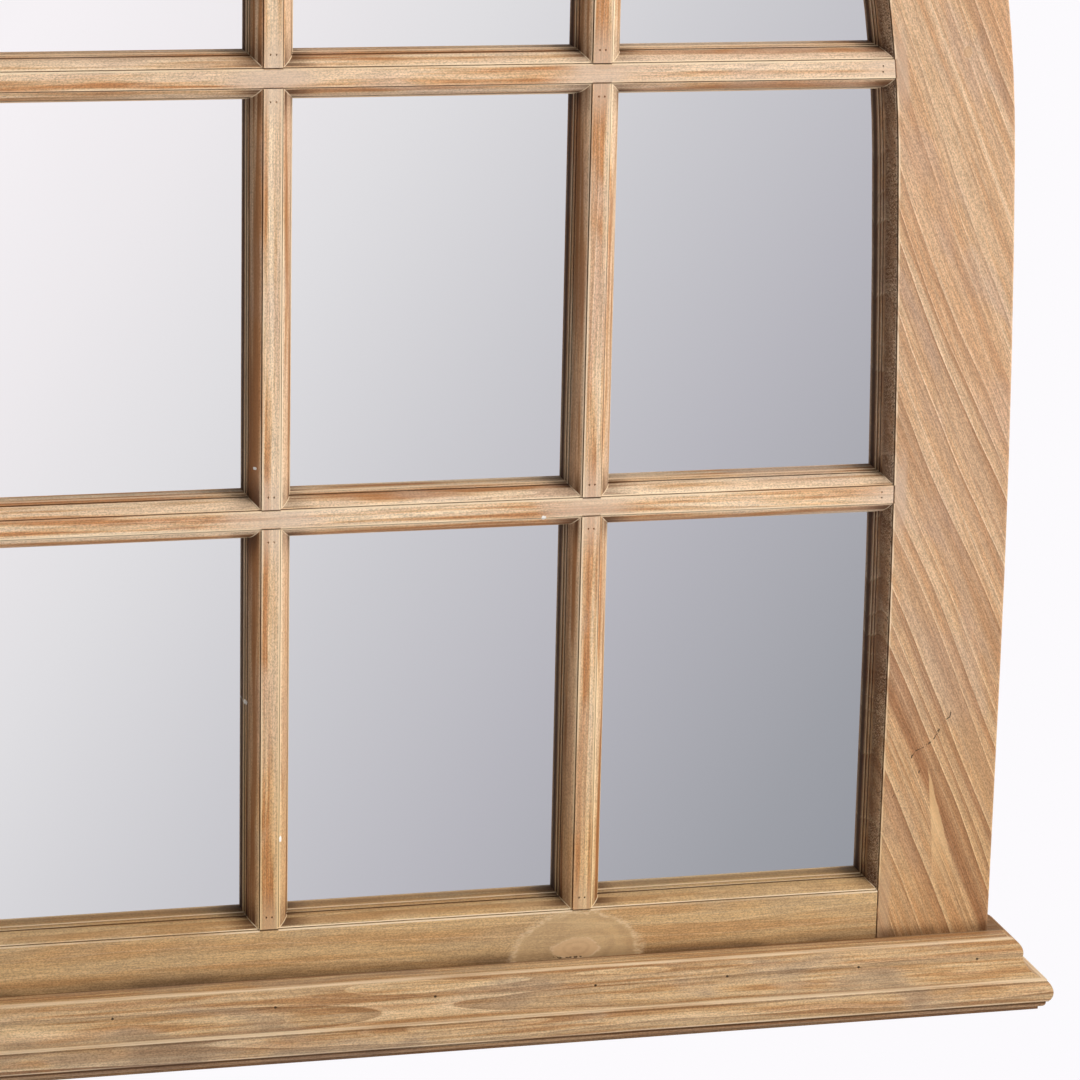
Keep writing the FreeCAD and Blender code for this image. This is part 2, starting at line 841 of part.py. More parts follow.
def sill_screw(name, x, wide="0", start="sill_screw_sink"):
    """Countersunk screw from below; with a width added it is the screw's hole."""
    radius = "sill_screw_radius + " + wide
    head = "sill_screw_head + " + wide
    depth = "-sill_screw_depth"
    flare = cone(name + "_flare", head, radius, "sill_screw_head_height",
                 (x, depth, "sill_screw_sink"))
    shank = cylinder(name + "_shank", radius,
                     "sill_screw_length + %s + sill_screw_sink - (%s)" % (wide, start),
                     (x, depth, start))
    if start == "sill_screw_sink":
        return fuse(name, [flare, shank])
    recess = cylinder(name + "_recess", head, "sill_screw_sink - (%s)" % start,
                      (x, depth, start))
    return fuse(name, [flare, shank, recess])


sill_screws = []
for name, x in (("middle", "0"), ("rail", "sill_screw_spacing"),
                ("side", "half_width - side_width / 2")):
    screw = sill_screw(name + "_sill_screw", x)
    hole = sill_screw(name + "_sill_bore", x, "fit_gap", "-fit_gap")
    sill_screws += [screw] if x == "0" else both(screw)
    holes = [hole] if x == "0" else both(hole)
    sill_bores += holes
    if name == "side":
        side_bores.append(hole)
    else:
        rail_bores += holes
keep(group("sill_screws", sill_screws))

# ---------------------------------------------------------------- screws of the back panel
panel_screws = []
screw_inset = "glass_line - panel_screw_inset"
spots = [
    ("bar_pitch / 2", "rail_top + sticking_width - panel_screw_inset", rail_bores),
    ("1.5 * bar_pitch", "rail_top + sticking_width - panel_screw_inset", rail_bores),
]
for quarter in (1, 3, 5, 7):
    height = "rail_top + %d * row_pitch / 4" % quarter
    spots.append((edge_x(height, screw_inset), height, side_bores))
for turn in ("low", "middle", "high"):
    angle = "panel_screw_%s_turn" % turn
    on_side = worth(angle) < worth("crown_joint_angle")
    x, z = on_arc("0", "crown_centre_z", "crown_radius", screw_inset, angle)
    spots.append((x, z, side_bores if on_side else crown_bores))
for number, (x, z, board_bores) in enumerate(spots):
    name = "panel_screw_%d" % number
    base = (x, "panel_back", z)
    panel_screws += both(pan_screw("panel_screw", name, base, (0, -1, 0)))
    hole = bore(name, "panel_screw_radius", "panel_screw_length", base, (0, -1, 0))
    pair = both(hole)
    panel_bores += pair
    board_bores += [hole] if board_bores is side_bores else pair
keep(group("back_panel_screws", panel_screws))

# ---------------------------------------------------------------- hanging hardware
derive(
    pivot_x="crown_radius - side_width / 2",
    pivot_y="knuckle_rise + knuckle_wall + fit_gap + ring_wire_radius",
    knuckle_radius="ring_wire_radius + fit_gap + knuckle_wall",
)
strap_plate = new_body("strap_plate")
plate_outline = new_sketch(strap_plate, "outline", "XZ_Plane")
outline(plate_outline, [
    ("pivot_x - strap_width / 2", "crown_centre_z - strap_length"),
    ("pivot_x + strap_width / 2", "crown_centre_z - strap_length"),
    ("pivot_x + strap_width / 2", "crown_centre_z"),
    ("pivot_x - strap_width / 2", "crown_centre_z"),
])
pad(strap_plate, plate_outline, "strap_thickness", reverse=True)
knuckle_start = ("pivot_x - strap_width / 2", "pivot_y", "crown_centre_z")
knuckle = cylinder("knuckle", "knuckle_radius", "strap_width", knuckle_start, (1, 0, 0))
strap_bores = [bore("knuckle", "ring_wire_radius", "strap_width", knuckle_start, (1, 0, 0))]

hanger_screws = []
for place in ("hanger_screw_high", "hanger_screw_low"):
    base = ("pivot_x", "strap_thickness", "crown_centre_z - " + place)
    hanger_screws += both(pan_screw("hanger_screw", place + "_screw", base, (0, -1, 0)))
    hole = bore(place, "hanger_screw_radius", "hanger_screw_length", base, (0, -1, 0))
    side_bores.append(hole)
    strap_bores.append(hole)
keep(group("hanger_screws", hanger_screws))
right_strap = keep(cut("right_hanger_strap", fuse("strap", [strap_plate, knuckle]), strap_bores))
keep(mirrored("left_hanger_strap", right_strap))

# The ring's wire is swept round a closed loop that starts in the middle of the knuckle.
right_ring = new_body("right_hanging_ring")
ring_path = new_sketch(right_ring, "path", "XZ_Plane", "-pivot_y")
shoulder = "(ring_half_width - ring_corner)"
elbow = "crown_centre_z - ring_corner - ring_side"
outline(ring_path, [
    ("pivot_x", "crown_centre_z"),
    ("pivot_x - " + shoulder, "crown_centre_z", "ring_corner"),
    ("pivot_x - ring_half_width", "crown_centre_z - ring_corner"),
    ("pivot_x - ring_half_width", elbow, "ring_half_width"),
    ("pivot_x", elbow + " - ring_half_width", "ring_half_width"),
    ("pivot_x + ring_half_width", elbow),
    ("pivot_x + ring_half_width", "crown_centre_z - ring_corner", "ring_corner"),
    ("pivot_x + " + shoulder, "crown_centre_z"),
])
ring_section = new_sketch(right_ring, "section", "YZ_Plane", "pivot_x")
circle(ring_section, "pivot_y", "crown_centre_z", "ring_wire_radius")
pipe(right_ring, ring_section, ring_path)
keep(right_ring)
keep(mirrored("left_hanging_ring", right_ring))

pad_spot = ("half_width - side_width / 2", "0", "sill_height + pad_setback")
wall_pad = cone("wall_pad", "pad_radius", "pad_end_radius", "pad_height", pad_spot, (0, 1, 0))
keep(group("wall_pads", both(wall_pad)))

# ---------------------------------------------------------------- finished pieces
side_board = keep(cut("right_side_board", side_blank, side_bores))
keep(mirrored("left_side_board", side_board))
keep(cut("crown_board", crown_blank, crown_bores))
keep(cut("bottom_rail", rail_blank, side_copes + rail_bores))
for row, (blank, cope) in enumerate(zip(cross_blanks, cross_copes), start=1):
    keep(cut("cross_bar_%d" % row, blank, side_copes + [crown_cope] + cross_bores[cope]))
for upright in uprights:
    keep(cut(upright["label"], upright["blank"], list(upright["copes"]) + upright["bores"]))
keep(cut("sill_board", sill_blank, sill_bores))
keep(cut("sill_front_moulding", front_blank, front_bores))
right_return = keep(cut("sill_right_return", return_blank, return_bores))
keep(mirrored("sill_left_return", right_return))
keep(cut("back_panel", panel_blank, panel_bores))

doc.recompute()

# ---------------------------------------------------------------- checks and files
for thing in doc.Objects:
    if "Invalid" in thing.State or "Error" in thing.State:
        raise RuntimeError("%s did not compute" % thing.Name)

os.makedirs("parts", exist_ok=True)
for piece in pieces:
    shape = piece.Shape
    grouped = piece.TypeId == "Part::Compound"
    wanted = len(piece.Links) if grouped else 1
    if shape.isNull() or not shape.isValid() or len(shape.Solids) != wanted:
        raise RuntimeError("%s is not sound: %d solids" % (piece.Label, len(shape.Solids)))
    box = shape.BoundBox
    print("%-24s %2d solids, %8.1f cm3, x %.1f..%.1f y %.1f..%.1f z %.1f..%.1f" % (
        piece.Label, len(shape.Solids), shape.Volume / 1000,
        box.XMin, box.XMax, box.YMin, box.YMax, box.ZMin, box.ZMax))
    shape.exportStep("parts/%s.step" % piece.Label)
print(len(pieces), "pieces written")
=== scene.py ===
# %% [markdown]
# # Arched window mirror
# This lesson dresses a mirror that looks like an arched window: one sheet of mirror glass
# behind moulded glazing bars, in a stained softwood frame that stands on a moulded sill.
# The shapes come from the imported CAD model, which is loaded as a fixed frame, so the work
# here is the light, the camera, the screws, and above all the wood.

# %%
# Load the frame
import json
import math

import bmesh
import bpy
from mathutils import Matrix, Vector


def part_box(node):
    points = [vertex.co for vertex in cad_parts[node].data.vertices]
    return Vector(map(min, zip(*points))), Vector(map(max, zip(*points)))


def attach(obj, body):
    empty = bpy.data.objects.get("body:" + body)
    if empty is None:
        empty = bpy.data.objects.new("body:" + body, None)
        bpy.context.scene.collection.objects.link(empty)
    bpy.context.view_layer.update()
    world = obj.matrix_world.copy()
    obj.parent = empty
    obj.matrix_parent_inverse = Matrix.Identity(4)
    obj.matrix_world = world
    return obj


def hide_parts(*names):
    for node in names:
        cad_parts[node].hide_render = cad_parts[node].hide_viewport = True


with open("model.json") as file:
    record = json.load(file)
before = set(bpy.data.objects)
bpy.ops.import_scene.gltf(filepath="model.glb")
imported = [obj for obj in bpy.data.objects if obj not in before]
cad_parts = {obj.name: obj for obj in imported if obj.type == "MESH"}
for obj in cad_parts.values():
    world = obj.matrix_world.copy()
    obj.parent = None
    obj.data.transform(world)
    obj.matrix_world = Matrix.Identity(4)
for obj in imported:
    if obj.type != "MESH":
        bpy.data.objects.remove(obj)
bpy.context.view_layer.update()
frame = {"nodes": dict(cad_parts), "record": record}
scene = bpy.context.scene

# %% [markdown]
# The photograph was taken with a long lens from the left and above the sill, and shows
# only the lower right part of the mirror. A long lens keeps the bars almost parallel. The
# camera's axes were measured from the bars' vanishing points, so they are written here as
# directions, and the lens comes from how fast the bars draw together.

# %%
# Camera
lens_length = 140.7
camera_place = (-0.4339, -2.3362, 0.9231)
looks_along = Vector((0.24089, 0.93729, -0.25192)).normalized()
to_the_right = Vector((0.96966, -0.24354, 0.02107)).normalized()
upwards = to_the_right.cross(looks_along).normalized()

camera_data = bpy.data.cameras.new("camera")
camera_data.sensor_width = 36
camera_data.lens = lens_length
camera = bpy.data.objects.new("camera", camera_data)
scene.collection.objects.link(camera)
scene.camera = camera
turned = Matrix((to_the_right, upwards, -looks_along)).transposed().to_4x4()
camera.matrix_world = Matrix.Translation(camera_place) @ turned
print("camera at", [round(c, 3) for c in camera.matrix_world.translation])

# %% [markdown]
# Shader trees soon fill with small steps: add, multiply, mix, look up noise. A little
# class keeps each step on one short line. `Group` is the same class for a shader group,
# an effect that is built once and placed in many materials with its own numbers.

# %%
# Helpers for shader trees


def screen(red, green, blue):
    """A colour written in screen values, as the linear light that shaders mix."""
    values = [channel / 255 for channel in (red, green, blue)]
    return tuple(v / 12.92 if v <= 0.04045 else ((v + 0.055) / 1.055) ** 2.4 for v in values)


def tones(**colours):
    """Named colours, each written in screen values."""
    return {name: screen(*values) for name, values in colours.items()}


class Shader:
    """Adds nodes to a tree and links them in one call."""

    def __init__(self, tree):
        self.tree = tree

    def plug(self, socket, value):
        if isinstance(value, bpy.types.NodeSocket):
            self.tree.links.new(value, socket)
        elif socket.type == "RGBA":
            socket.default_value = (*value[:3], 1)
        else:
            socket.default_value = value

    def add(self, kind, settings=None, **inputs):
        """New node; an input's name is written with _ for a space."""
        family = "" if kind.startswith(("Geometry", "Function")) else "ShaderNode"
        node = self.tree.nodes.new(family + kind)
        for name, value in (settings or {}).items():
            setattr(node, name, value)
        for name, value in inputs.items():
            self.plug(node.inputs[name.replace("_", " ")], value)
        return node

    def math(self, operation, *values, clamp=False):
        node = self.add("Math", {"operation": operation, "use_clamp": clamp})
        for socket, value in zip(node.inputs, values):
            self.plug(socket, value)
        return node.outputs[0]

    def plus(self, *values):
        total = values[0]
        for value in values[1:]:
            total = self.math("ADD", total, value)
        return total

    def minus(self, first, second):
        return self.math("SUBTRACT", first, second)

    def times(self, *values):
        total = values[0]
        for value in values[1:]:
            total = self.math("MULTIPLY", total, value)
        return total

    def strongest(self, first, *others):
        for one in others:
            first = self.math("MAXIMUM", first, one)
        return first

    def vector(self, operation, *values):
        """Vector step; a dot product or a length comes back as a number."""
        node = self.add("VectorMath", {"operation": operation})
        for socket, value in zip(node.inputs, values):
            self.plug(socket, value)
        return node.outputs[1 if operation in ("DOT_PRODUCT", "LENGTH") else 0]

    def axes(self, vector):
        return self.add("SeparateXYZ", None, Vector=vector).outputs

    def xyz(self, **parts):
        """A vector from its X, Y and Z; a part left out is 0."""
        return self.add("CombineXYZ", None, **parts).outputs[0]

    def scaled(self, vector, factor):
        node = self.add("VectorMath", {"operation": "SCALE"}, Vector=vector, Scale=factor)
        return node.outputs[0]

    def mix(self, amount, first, second, blend="MIX"):
        node = self.add("Mix", {"data_type": "RGBA", "blend_type": blend})
        for index, value in ((0, amount), (6, first), (7, second)):
            self.plug(node.inputs[index], value)
        return node.outputs[2]

    def choose(self, amount, no, yes):
        """Two surface shaders mixed by a number."""
        node = self.add("MixShader")
        for socket, value in zip(node.inputs, (amount, no.outputs[0], yes.outputs[0])):
            self.plug(socket, value)
        return node

    def noise(self, place, grains, detail=2.0, roughness=0.5, distortion=0.0):
        """Noise whose grains have the given lengths along the three axes."""
        stretched = self.vector("DIVIDE", place, grains)
        node = self.add("TexNoise", None, Vector=stretched, Scale=1.0, Detail=detail,
                        Roughness=roughness, Distortion=distortion)
        return node.outputs[0]

    def ramp(self, value, start, end, low=0.0, high=1.0):
        """Soft step from low to high while the value goes from start to end."""
        if start > end:
            start, end, low, high = end, start, high, low
        node = self.add("MapRange", {"interpolation_type": "SMOOTHSTEP"}, Value=value,
                        From_Min=start, From_Max=end, To_Min=low, To_Max=high)
        return node.outputs[0]

    def window(self, value, opens, open_at, closing, closed):
        """1 between open_at and closing, 0 outside opens and closed."""
        return self.times(self.ramp(value, opens, open_at), self.ramp(value, closed, closing))


class Group(Shader):
    """A shader group being built: its inputs by name, and its outputs to fill."""

    def __init__(self, name, incoming, outgoing):
        super().__init__(bpy.data.node_groups.new(name, "ShaderNodeTree"))
        for title, value in incoming.items():
            kind = "Float"
            if not isinstance(value, (int, float)):
                kind = "Color" if len(value) == 4 else "Vector"
            socket = self.tree.interface.new_socket(
                title, in_out="INPUT", socket_type="NodeSocket" + kind)
            socket.default_value = value
        for title in outgoing:
            kind = "Color" if title == "Color" else "Float"
            self.tree.interface.new_socket(
                title, in_out="OUTPUT", socket_type="NodeSocket" + kind)
        self.given = self.tree.nodes.new("NodeGroupInput").outputs
        self.result = self.tree.nodes.new("NodeGroupOutput").inputs

    def give(self, **outputs):
        for title, value in outputs.items():
            self.tree.links.new(value, self.result[title.replace("_", " ")])
        print("%s: %d nodes" % (self.tree.name, len(self.tree.nodes)))


# %% [markdown]
# A mirror has no colour of its own: it shows the room. The photograph shows a smooth
# gradient, white to the upper left and grey-blue to the lower right, so the world carries
# that gradient for rays that come straight off a glossy surface. Rays from the camera see
# plain white. All other rays see a soft light that is a little stronger from the upper
# right, which shapes the mouldings without a hard shadow.

# %%
# World: white for the camera, a gradient for reflections, soft light for the rest
world = bpy.data.worlds.new("studio")
scene.world = world
world.use_nodes = True
world.node_tree.nodes.clear()
w = Shader(world.node_tree)
out = w.add("OutputWorld")
path = w.add("LightPath")
way = w.add("TexCoord").outputs["Generated"]

towards_white = (-0.8194, 0.0, 0.5732)
room_stops = {
    -0.46: (0.29, 0.305, 0.345), -0.415: (0.383, 0.388, 0.430), -0.362: (0.526, 0.517, 0.570),
    -0.314: (0.660, 0.651, 0.693), -0.264: (0.822, 0.807, 0.838), -0.225: (0.935, 0.899, 0.931),
    -0.18: (1.03, 0.985, 1.02), -0.06: (0.95, 0.93, 0.96), 0.20: (0.34, 0.34, 0.37),
    0.7: (0.30, 0.30, 0.33),
}
slope = w.vector("DOT_PRODUCT", way, towards_white)
room_low, room_high = min(room_stops), max(room_stops)
spread = w.add("MapRange", None, Value=slope, From_Min=room_low, From_Max=room_high)
room = w.add("ValToRGB", None, Fac=spread.outputs[0])
while len(room.color_ramp.elements) < len(room_stops):
    room.color_ramp.elements.new(0.5)
for stop, (place, colour) in zip(room.color_ramp.elements, sorted(room_stops.items())):
    stop.position = (place - room_low) / (room_high - room_low)
    stop.color = (*colour, 1)

backdrop_white = (0.974, 0.957, 0.983)
towards_key = Vector((0.75, -0.30, 0.59)).normalized()
key_side = w.ramp(w.vector("DOT_PRODUCT", way, tuple(towards_key)), -0.4, 0.9, 0.07, 0.52)
soft_light = w.add("Background", None, Color=(1.0, 0.985, 0.965), Strength=key_side)
reflected = w.add("Background", None, Color=room.outputs[0], Strength=1.0)
white = w.add("Background", None, Color=backdrop_white, Strength=1.0)
straight = w.math("LESS_THAN", path.outputs["Diffuse Depth"], 0.5)
mirrored = w.times(path.outputs["Is Glossy Ray"], straight)
seen = w.choose(mirrored, soft_light, reflected)
seen = w.choose(path.outputs["Is Transmission Ray"], seen, white)
seen = w.choose(path.outputs["Is Camera Ray"], seen, white)
w.plug(out.inputs["Surface"], seen.outputs[0])
scene.view_settings.view_transform = "Standard"

# %% [markdown]
# The mirror hangs on a wall, so the pale floor lies well below it. The camera sees it as
# plain white, with a share left for the object's soft shadow close by. Reflections pass
# through the floor.

# %%
# Floor
floor_height = -0.9
floor_half = 12.0
floor_mesh = bpy.data.meshes.new("floor")
corners = [(-1, -1), (1, -1), (1, 1), (-1, 1)]
floor_mesh.from_pydata(
    [(x * floor_half, y * floor_half, floor_height) for x, y in corners], [], [(0, 1, 2, 3)])
floor = bpy.data.objects.new("floor", floor_mesh)
scene.collection.objects.link(floor)
floor.visible_glossy = False
floor_paint = bpy.data.materials.new("floor_paint")
floor_paint.use_nodes = True
floor_paint.node_tree.nodes.clear()
f = Shader(floor_paint.node_tree)
shadow_reach = 1.8
away = f.vector("LENGTH", f.vector("MULTIPLY", f.add("TexCoord").outputs["Object"], (1, 1, 0)))
keeps_shadow = f.ramp(away, 0.3, shadow_reach, 0.35, 0.0)
glow = f.add("Emission", None, Color=backdrop_white, Strength=1.0)
paint = f.add("BsdfDiffuse", None, Color=(0.93, 0.92, 0.94))
is_camera = f.add("LightPath").outputs["Is Camera Ray"]
by_ray = f.choose(is_camera, paint, f.choose(keeps_shadow, glow, paint))
f.plug(f.add("OutputMaterial").inputs["Surface"], by_ray.outputs[0])
floor_mesh.materials.append(floor_paint)

# %% [markdown]
# The side of each bar that faces left is dark in the photograph and the side that faces
# right is bright, so the front lamps stand on the right: a large one above and a weaker
# one below it for the undersides. A third lamp lights the back alone. Lamps aren't seen
# in the mirror.

# %%
# Lamps
lamp_aim = Vector((0.15, 0, 0.45))


def softbox(name, place, size, power, colour):
    lamp = bpy.data.lights.new(name, "AREA")
    lamp.size = size
    lamp.energy = power
    lamp.color = colour
    holder = bpy.data.objects.new(name, lamp)
    scene.collection.objects.link(holder)
    aimed = (lamp_aim - Vector(place)).to_track_quat("-Z", "Y").to_matrix().to_4x4()
    holder.matrix_world = Matrix.Translation(place) @ aimed
    holder.visible_camera = False
    holder.visible_glossy = False


softbox("key_light", (2.4, -1.4, 2.35), 1.2, 90, (1.0, 0.99, 0.975))
softbox("low_light", (1.6, -2.6, -0.2), 1.4, 17, (1.0, 0.985, 0.97))
softbox("back_light", (-1.5, 3.0, 1.7), 1.8, 95, (1.0, 0.99, 0.98))

# %% [markdown]
# ## Where on the moulding?
# Stain, wear and painted light follow the moulding: the groove beside each flat face is
# dark with glaze and painted shade, the edges are pale, partly rubbed and partly painted
# highlight, and thin pale lines of painted highlight run along every mitre. So the wood
# needs to know how far each point lies from the edge of the nearest face. What the frame
# can tell is read from its nodes, so the finish follows the pieces. All sizes are in
# millimetres.

# %%
# Sizes from the frame
MM = 1000.0


def middle(node, axis):
    low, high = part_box(node)
    return (low[axis] + high[axis]) / 2 * MM


def loose_boxes(node):
    """Lowest and highest corners of each loose solid of a node."""
    work = bmesh.new()
    work.from_mesh(frame["nodes"][node].data)
    bmesh.ops.remove_doubles(work, verts=work.verts, dist=1e-6)
    unseen = set(work.verts)
    boxes = []
    while unseen:
        reached = [unseen.pop()]
        for vert in reached:
            for edge in vert.link_edges:
                other = edge.other_vert(vert)
                if other in unseen:
                    unseen.remove(other)
                    reached.append(other)
        places = [vert.co.copy() for vert in reached]
        boxes.append([[pick_end(p[axis] for p in places) for axis in range(3)]
                      for pick_end in (min, max)])
    work.free()
    return sorted(boxes)


sill_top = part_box("sill_board")[1][2] * MM
half_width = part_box("right_side_board")[1][0] * MM
face_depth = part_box("right_side_board")[0][1] * MM
bar_pitch = middle("row_1_upright_3", 0) - middle("row_1_upright_2", 0)
row_pitch = middle("cross_bar_2", 2) - middle("cross_bar_1", 2)
bar_face = 10.8
side_width = 72.0
rail_edge = middle("cross_bar_1", 2) - row_pitch + bar_face / 2
print("bars every %.1f mm, rows every %.1f mm, rail up to %.1f mm" % (
    bar_pitch, row_pitch, rail_edge))

# %% [markdown]
# The frame's outer edge is three arcs that meet smoothly: a very flat side arc, a haunch
# arc and the crown arc. Each centre lies on the last radius of the arc before it.

# %%
# Arcs of the outer edge
side_radius, side_turn = 6970.0, math.radians(2.57)
haunch_radius, haunch_turn = 863.0, math.radians(7.68)
straight_height = 172.0
spring = Vector((half_width, sill_top + straight_height))
side_centre = spring - Vector((side_radius, 0))
towards_haunch = Vector((math.cos(side_turn), math.sin(side_turn)))
haunch_centre = side_centre + (side_radius - haunch_radius) * towards_haunch
crown_turn = side_turn + haunch_turn
towards_crown = Vector((math.cos(crown_turn), math.sin(crown_turn)))
crown_foot = haunch_centre + haunch_radius * towards_crown
crown_radius = crown_foot.x / math.cos(crown_turn)
crown_centre = Vector((0, crown_foot.y - crown_radius * math.sin(crown_turn)))
print("crown arc: radius %.1f, centre at %.1f" % (crown_radius, crown_centre.y))

# %% [markdown]
# The bars stand at a steady pitch, so a ping-pong of the coordinate gives the distance to
# the nearest bar. On the boards each distance is measured from the centre of the arc that
# the point belongs to. Painting masks by hand or unwrapping the pieces would also work,
# but a formula stays sharp at any size of picture.

# %%
# Shader group: distances from the edges of the faces
g = Group("edge_distances", {"Place": (0, 0, 0)}, ["Upright", "Cross", "Board", "Depth"])
spot = g.scaled(g.given["Place"], MM)
axes = g.axes(spot)
x = g.math("ABSOLUTE", axes["X"])
z = axes["Z"]
outermost = 1.5 * bar_pitch
from_upright = g.math("PINGPONG", g.math("MINIMUM", x, outermost), bar_pitch / 2)
first_centre = rail_edge - bar_face / 2
above_first = g.math("MAXIMUM", g.minus(z, first_centre), 0.0)
from_cross = g.math("PINGPONG", above_first, row_pitch / 2)


def inside_arc(centre, radius, height):
    """How far a point lies inside a circle in the XZ plane."""
    offset = g.xyz(X=g.minus(x, centre.x), Y=g.minus(height, centre.y))
    return g.minus(radius, g.vector("LENGTH", offset))


def past(centre, turn):
    """1 for points beyond the ray that leaves a centre at a turn."""
    along = g.times(g.minus(x, centre.x), -math.sin(turn))
    lift = g.times(g.minus(z, centre.y), math.cos(turn))
    return g.math("GREATER_THAN", g.plus(along, lift), 0.0)


def pick(chooser, no, yes):
    return g.plus(no, g.times(chooser, g.minus(yes, no)))


inset = inside_arc(side_centre, side_radius, g.math("MAXIMUM", z, spring.y))
inset = pick(past(haunch_centre, side_turn), inset, inside_arc(haunch_centre, haunch_radius, z))
inset = pick(past(crown_centre, crown_turn), inset, inside_arc(crown_centre, crown_radius, z))
g.give(
    Upright=g.minus(from_upright, bar_face / 2),
    Cross=g.minus(from_cross, bar_face / 2),
    Board=g.minus(inset, side_width),
    Depth=g.minus(axes["Y"], face_depth))
edge_distances = g.tree

# %% [markdown]
# The section of the moulding is a narrow dark groove, a quarter round, a small fillet and
# a lip against the glass. From the distance across and the depth this group says where
# the glaze has gathered and where shade is painted in the groove, in the inner corners and
# on the walls by the glass (Groove), where the finish is rubbed through and
# where highlights are painted on the edges and mitres (Rub), where the wood is
# warm brown (Hollow), where the moulding darkens towards a crossing (Smudge) and
# where a bar's face is greyish near a crossing (Wash).

# %%
# Shader group: masks of the moulding
m = Group("moulding_masks", {"Own": -5.0, "Other": 50.0, "Depth": 0.0, "Outer": 40.0,
                             "Streaks": 0.5, "Blotches": 0.5, "Dirt": 0.5},
          ["Groove", "Rub", "Hollow", "Smudge", "Wash"])
own, other, depth = (m.given[name] for name in ("Own", "Other", "Depth"))
section = m.xyz(X=own, Y=depth)

# corners of the section: how far across from the face's edge, and how deep
face_corner = (-0.25, 0.0)
quirk_corner = (0.75, 0.9)
fillet_hollow, fillet_corner = (6.2, 9.6), (7.0, 9.3)
lip_hollow, lip_corner = (7.0, 12.8), (7.75, 12.8)
glass_depth = 19.3


def corner_line(corner, width):
    """A thin line along one corner of the moulding's section."""
    miss = m.vector("LENGTH", m.vector("SUBTRACT", section, (*corner, 0)))
    return m.ramp(miss, width, 0.45 * width)


patchy = m.ramp(m.given["Streaks"], 0.40, 0.56)
# the quirk beside each face: glaze plus painted shade for the shade that falls in it
in_quirk = m.times(m.window(own, 0.0, 0.1, 0.45, 0.6), m.ramp(depth, 0.25, 0.8))
in_front = m.ramp(depth, glass_depth + 0.6, glass_depth)
# painted shade darkens the walls next to the glass, by an amount set per piece
shade_by_the_glass = m.times(m.ramp(depth, 13.2, 17.5), m.ramp(own, 5.5, 6.5), m.given["Dirt"])
crossing = m.ramp(other, 0.3, -0.1)
joint = m.times(m.window(own, -0.5, -0.25, 0.0, 0.2), crossing,
                m.plus(m.times(patchy, 0.5), 0.3))
# groove mask: glaze and painted shade in the quirk, painted shade in the inner corners of the
# fillet and the lip and on the walls by the glass, and dark joints
groove_glaze_and_shade = m.strongest(
    m.times(in_quirk, m.plus(m.times(patchy, -0.3), 0.95)),
    m.times(corner_line(fillet_hollow, 0.75), 0.8),
    m.times(corner_line(lip_hollow, 0.8), m.given["Dirt"], 0.85), shade_by_the_glass, joint)

apart = m.math("ABSOLUTE", m.minus(own, other))
# painted highlight along each mitre line
on_mitre = m.times(m.ramp(apart, 0.55, 0.2), m.ramp(own, 0.5, 0.8), m.ramp(own, 7.4, 6.8))
# painted highlight along the outer edge of the boards
outer_arris_highlight = m.times(m.window(m.given["Outer"], -1.0, 0.2, 0.9, 2.0), 0.12)
uneven = m.plus(m.times(patchy, 0.8), 0.25)
# pale mask: painted highlights on the face's edge, which is also worn, on the top of the quarter
# round, on the corners of the fillet and the lip, along the mitres and along the outer edge
rub_and_highlight = m.strongest(
    m.times(corner_line(face_corner, 0.85), uneven, m.ramp(other, 0.0, 0.5)),
    m.times(corner_line(quirk_corner, 0.6), uneven),
    m.times(corner_line(fillet_corner, 0.6), uneven),
    m.times(corner_line(lip_corner, 0.65), 0.95), m.times(on_mitre, 0.85), outer_arris_highlight)

on_round = m.window(own, 0.9, 2.6, 6.0, 6.3)
# the per-piece amount of painted shade also sets how strongly glaze soaks the quarter round
soaked = m.plus(m.times(m.given["Dirt"], 0.85), 0.18)
hollow = m.times(on_round, soaked, m.ramp(m.given["Streaks"], 0.56, 0.44, 0.35, 1.0))
# the moulding darkens in patches towards a crossing
in_corner = m.times(m.ramp(other, 25.0, 4.0), m.ramp(own, 0.6, 1.6))
dark_patches = m.times(in_corner, m.ramp(m.given["Streaks"], 0.56, 0.46, 0.45, 1.0),
                 m.ramp(m.given["Blotches"], 0.36, 0.50, 0.6, 1.0))
wash = m.times(m.ramp(other, 30.0, 2.0), m.window(own, -9.0, -6.0, -0.8, 0.0),
               m.ramp(depth, 0.4, 0.1))
m.give(Groove=m.times(groove_glaze_and_shade, in_front), Rub=m.times(rub_and_highlight, in_front),
       Hollow=m.times(hollow, in_front), Smudge=m.times(dark_patches, in_front), Wash=wash)
moulding_masks = m.tree

# %% [markdown]
# ## Softwood
# A flat sawn board shows its growth rings as stripes. Each ring starts pale in spring,
# darkens slowly and ends suddenly, so the stripe is a saw tooth with a thin pale line
# after it. Rings differ in width and strength. The coordinate across the grain is bent by
# slow noise, cut into rings of uneven width, and each ring draws its own random strength.
# Fibres, streaks and pores are noise that is stretched along the grain.

# %%
# Shader group: softwood grain (place in the wood: along, across, into, in millimetres)
s = Group("softwood_grain", {"Wood Place": (0, 0, 0), "Ring Width": 8.0, "Waviness": 3.0,
                             "Streak Width": 5.0, "Seed": 0.0},
          ["Rings", "Pale Line", "Ring Tint", "Fibres", "Streaks", "Blotches", "Flecks"])
seed_step = (731.0, 311.0, 577.0)
place = s.vector("ADD", s.given["Wood Place"], s.scaled(seed_step, s.given["Seed"]))
slow = s.noise(place, (420.0, 110.0, 110.0), 1.5)
quick = s.noise(place, (90.0, 22.0, 22.0), 1.0)
axes = s.axes(place)
bend = s.plus(s.times(s.minus(slow, 0.5), 14.0), s.times(s.minus(quick, 0.5), 1.6))
across = s.plus(axes["Y"], s.times(bend, s.given["Waviness"]), s.times(axes["Z"], 0.35))


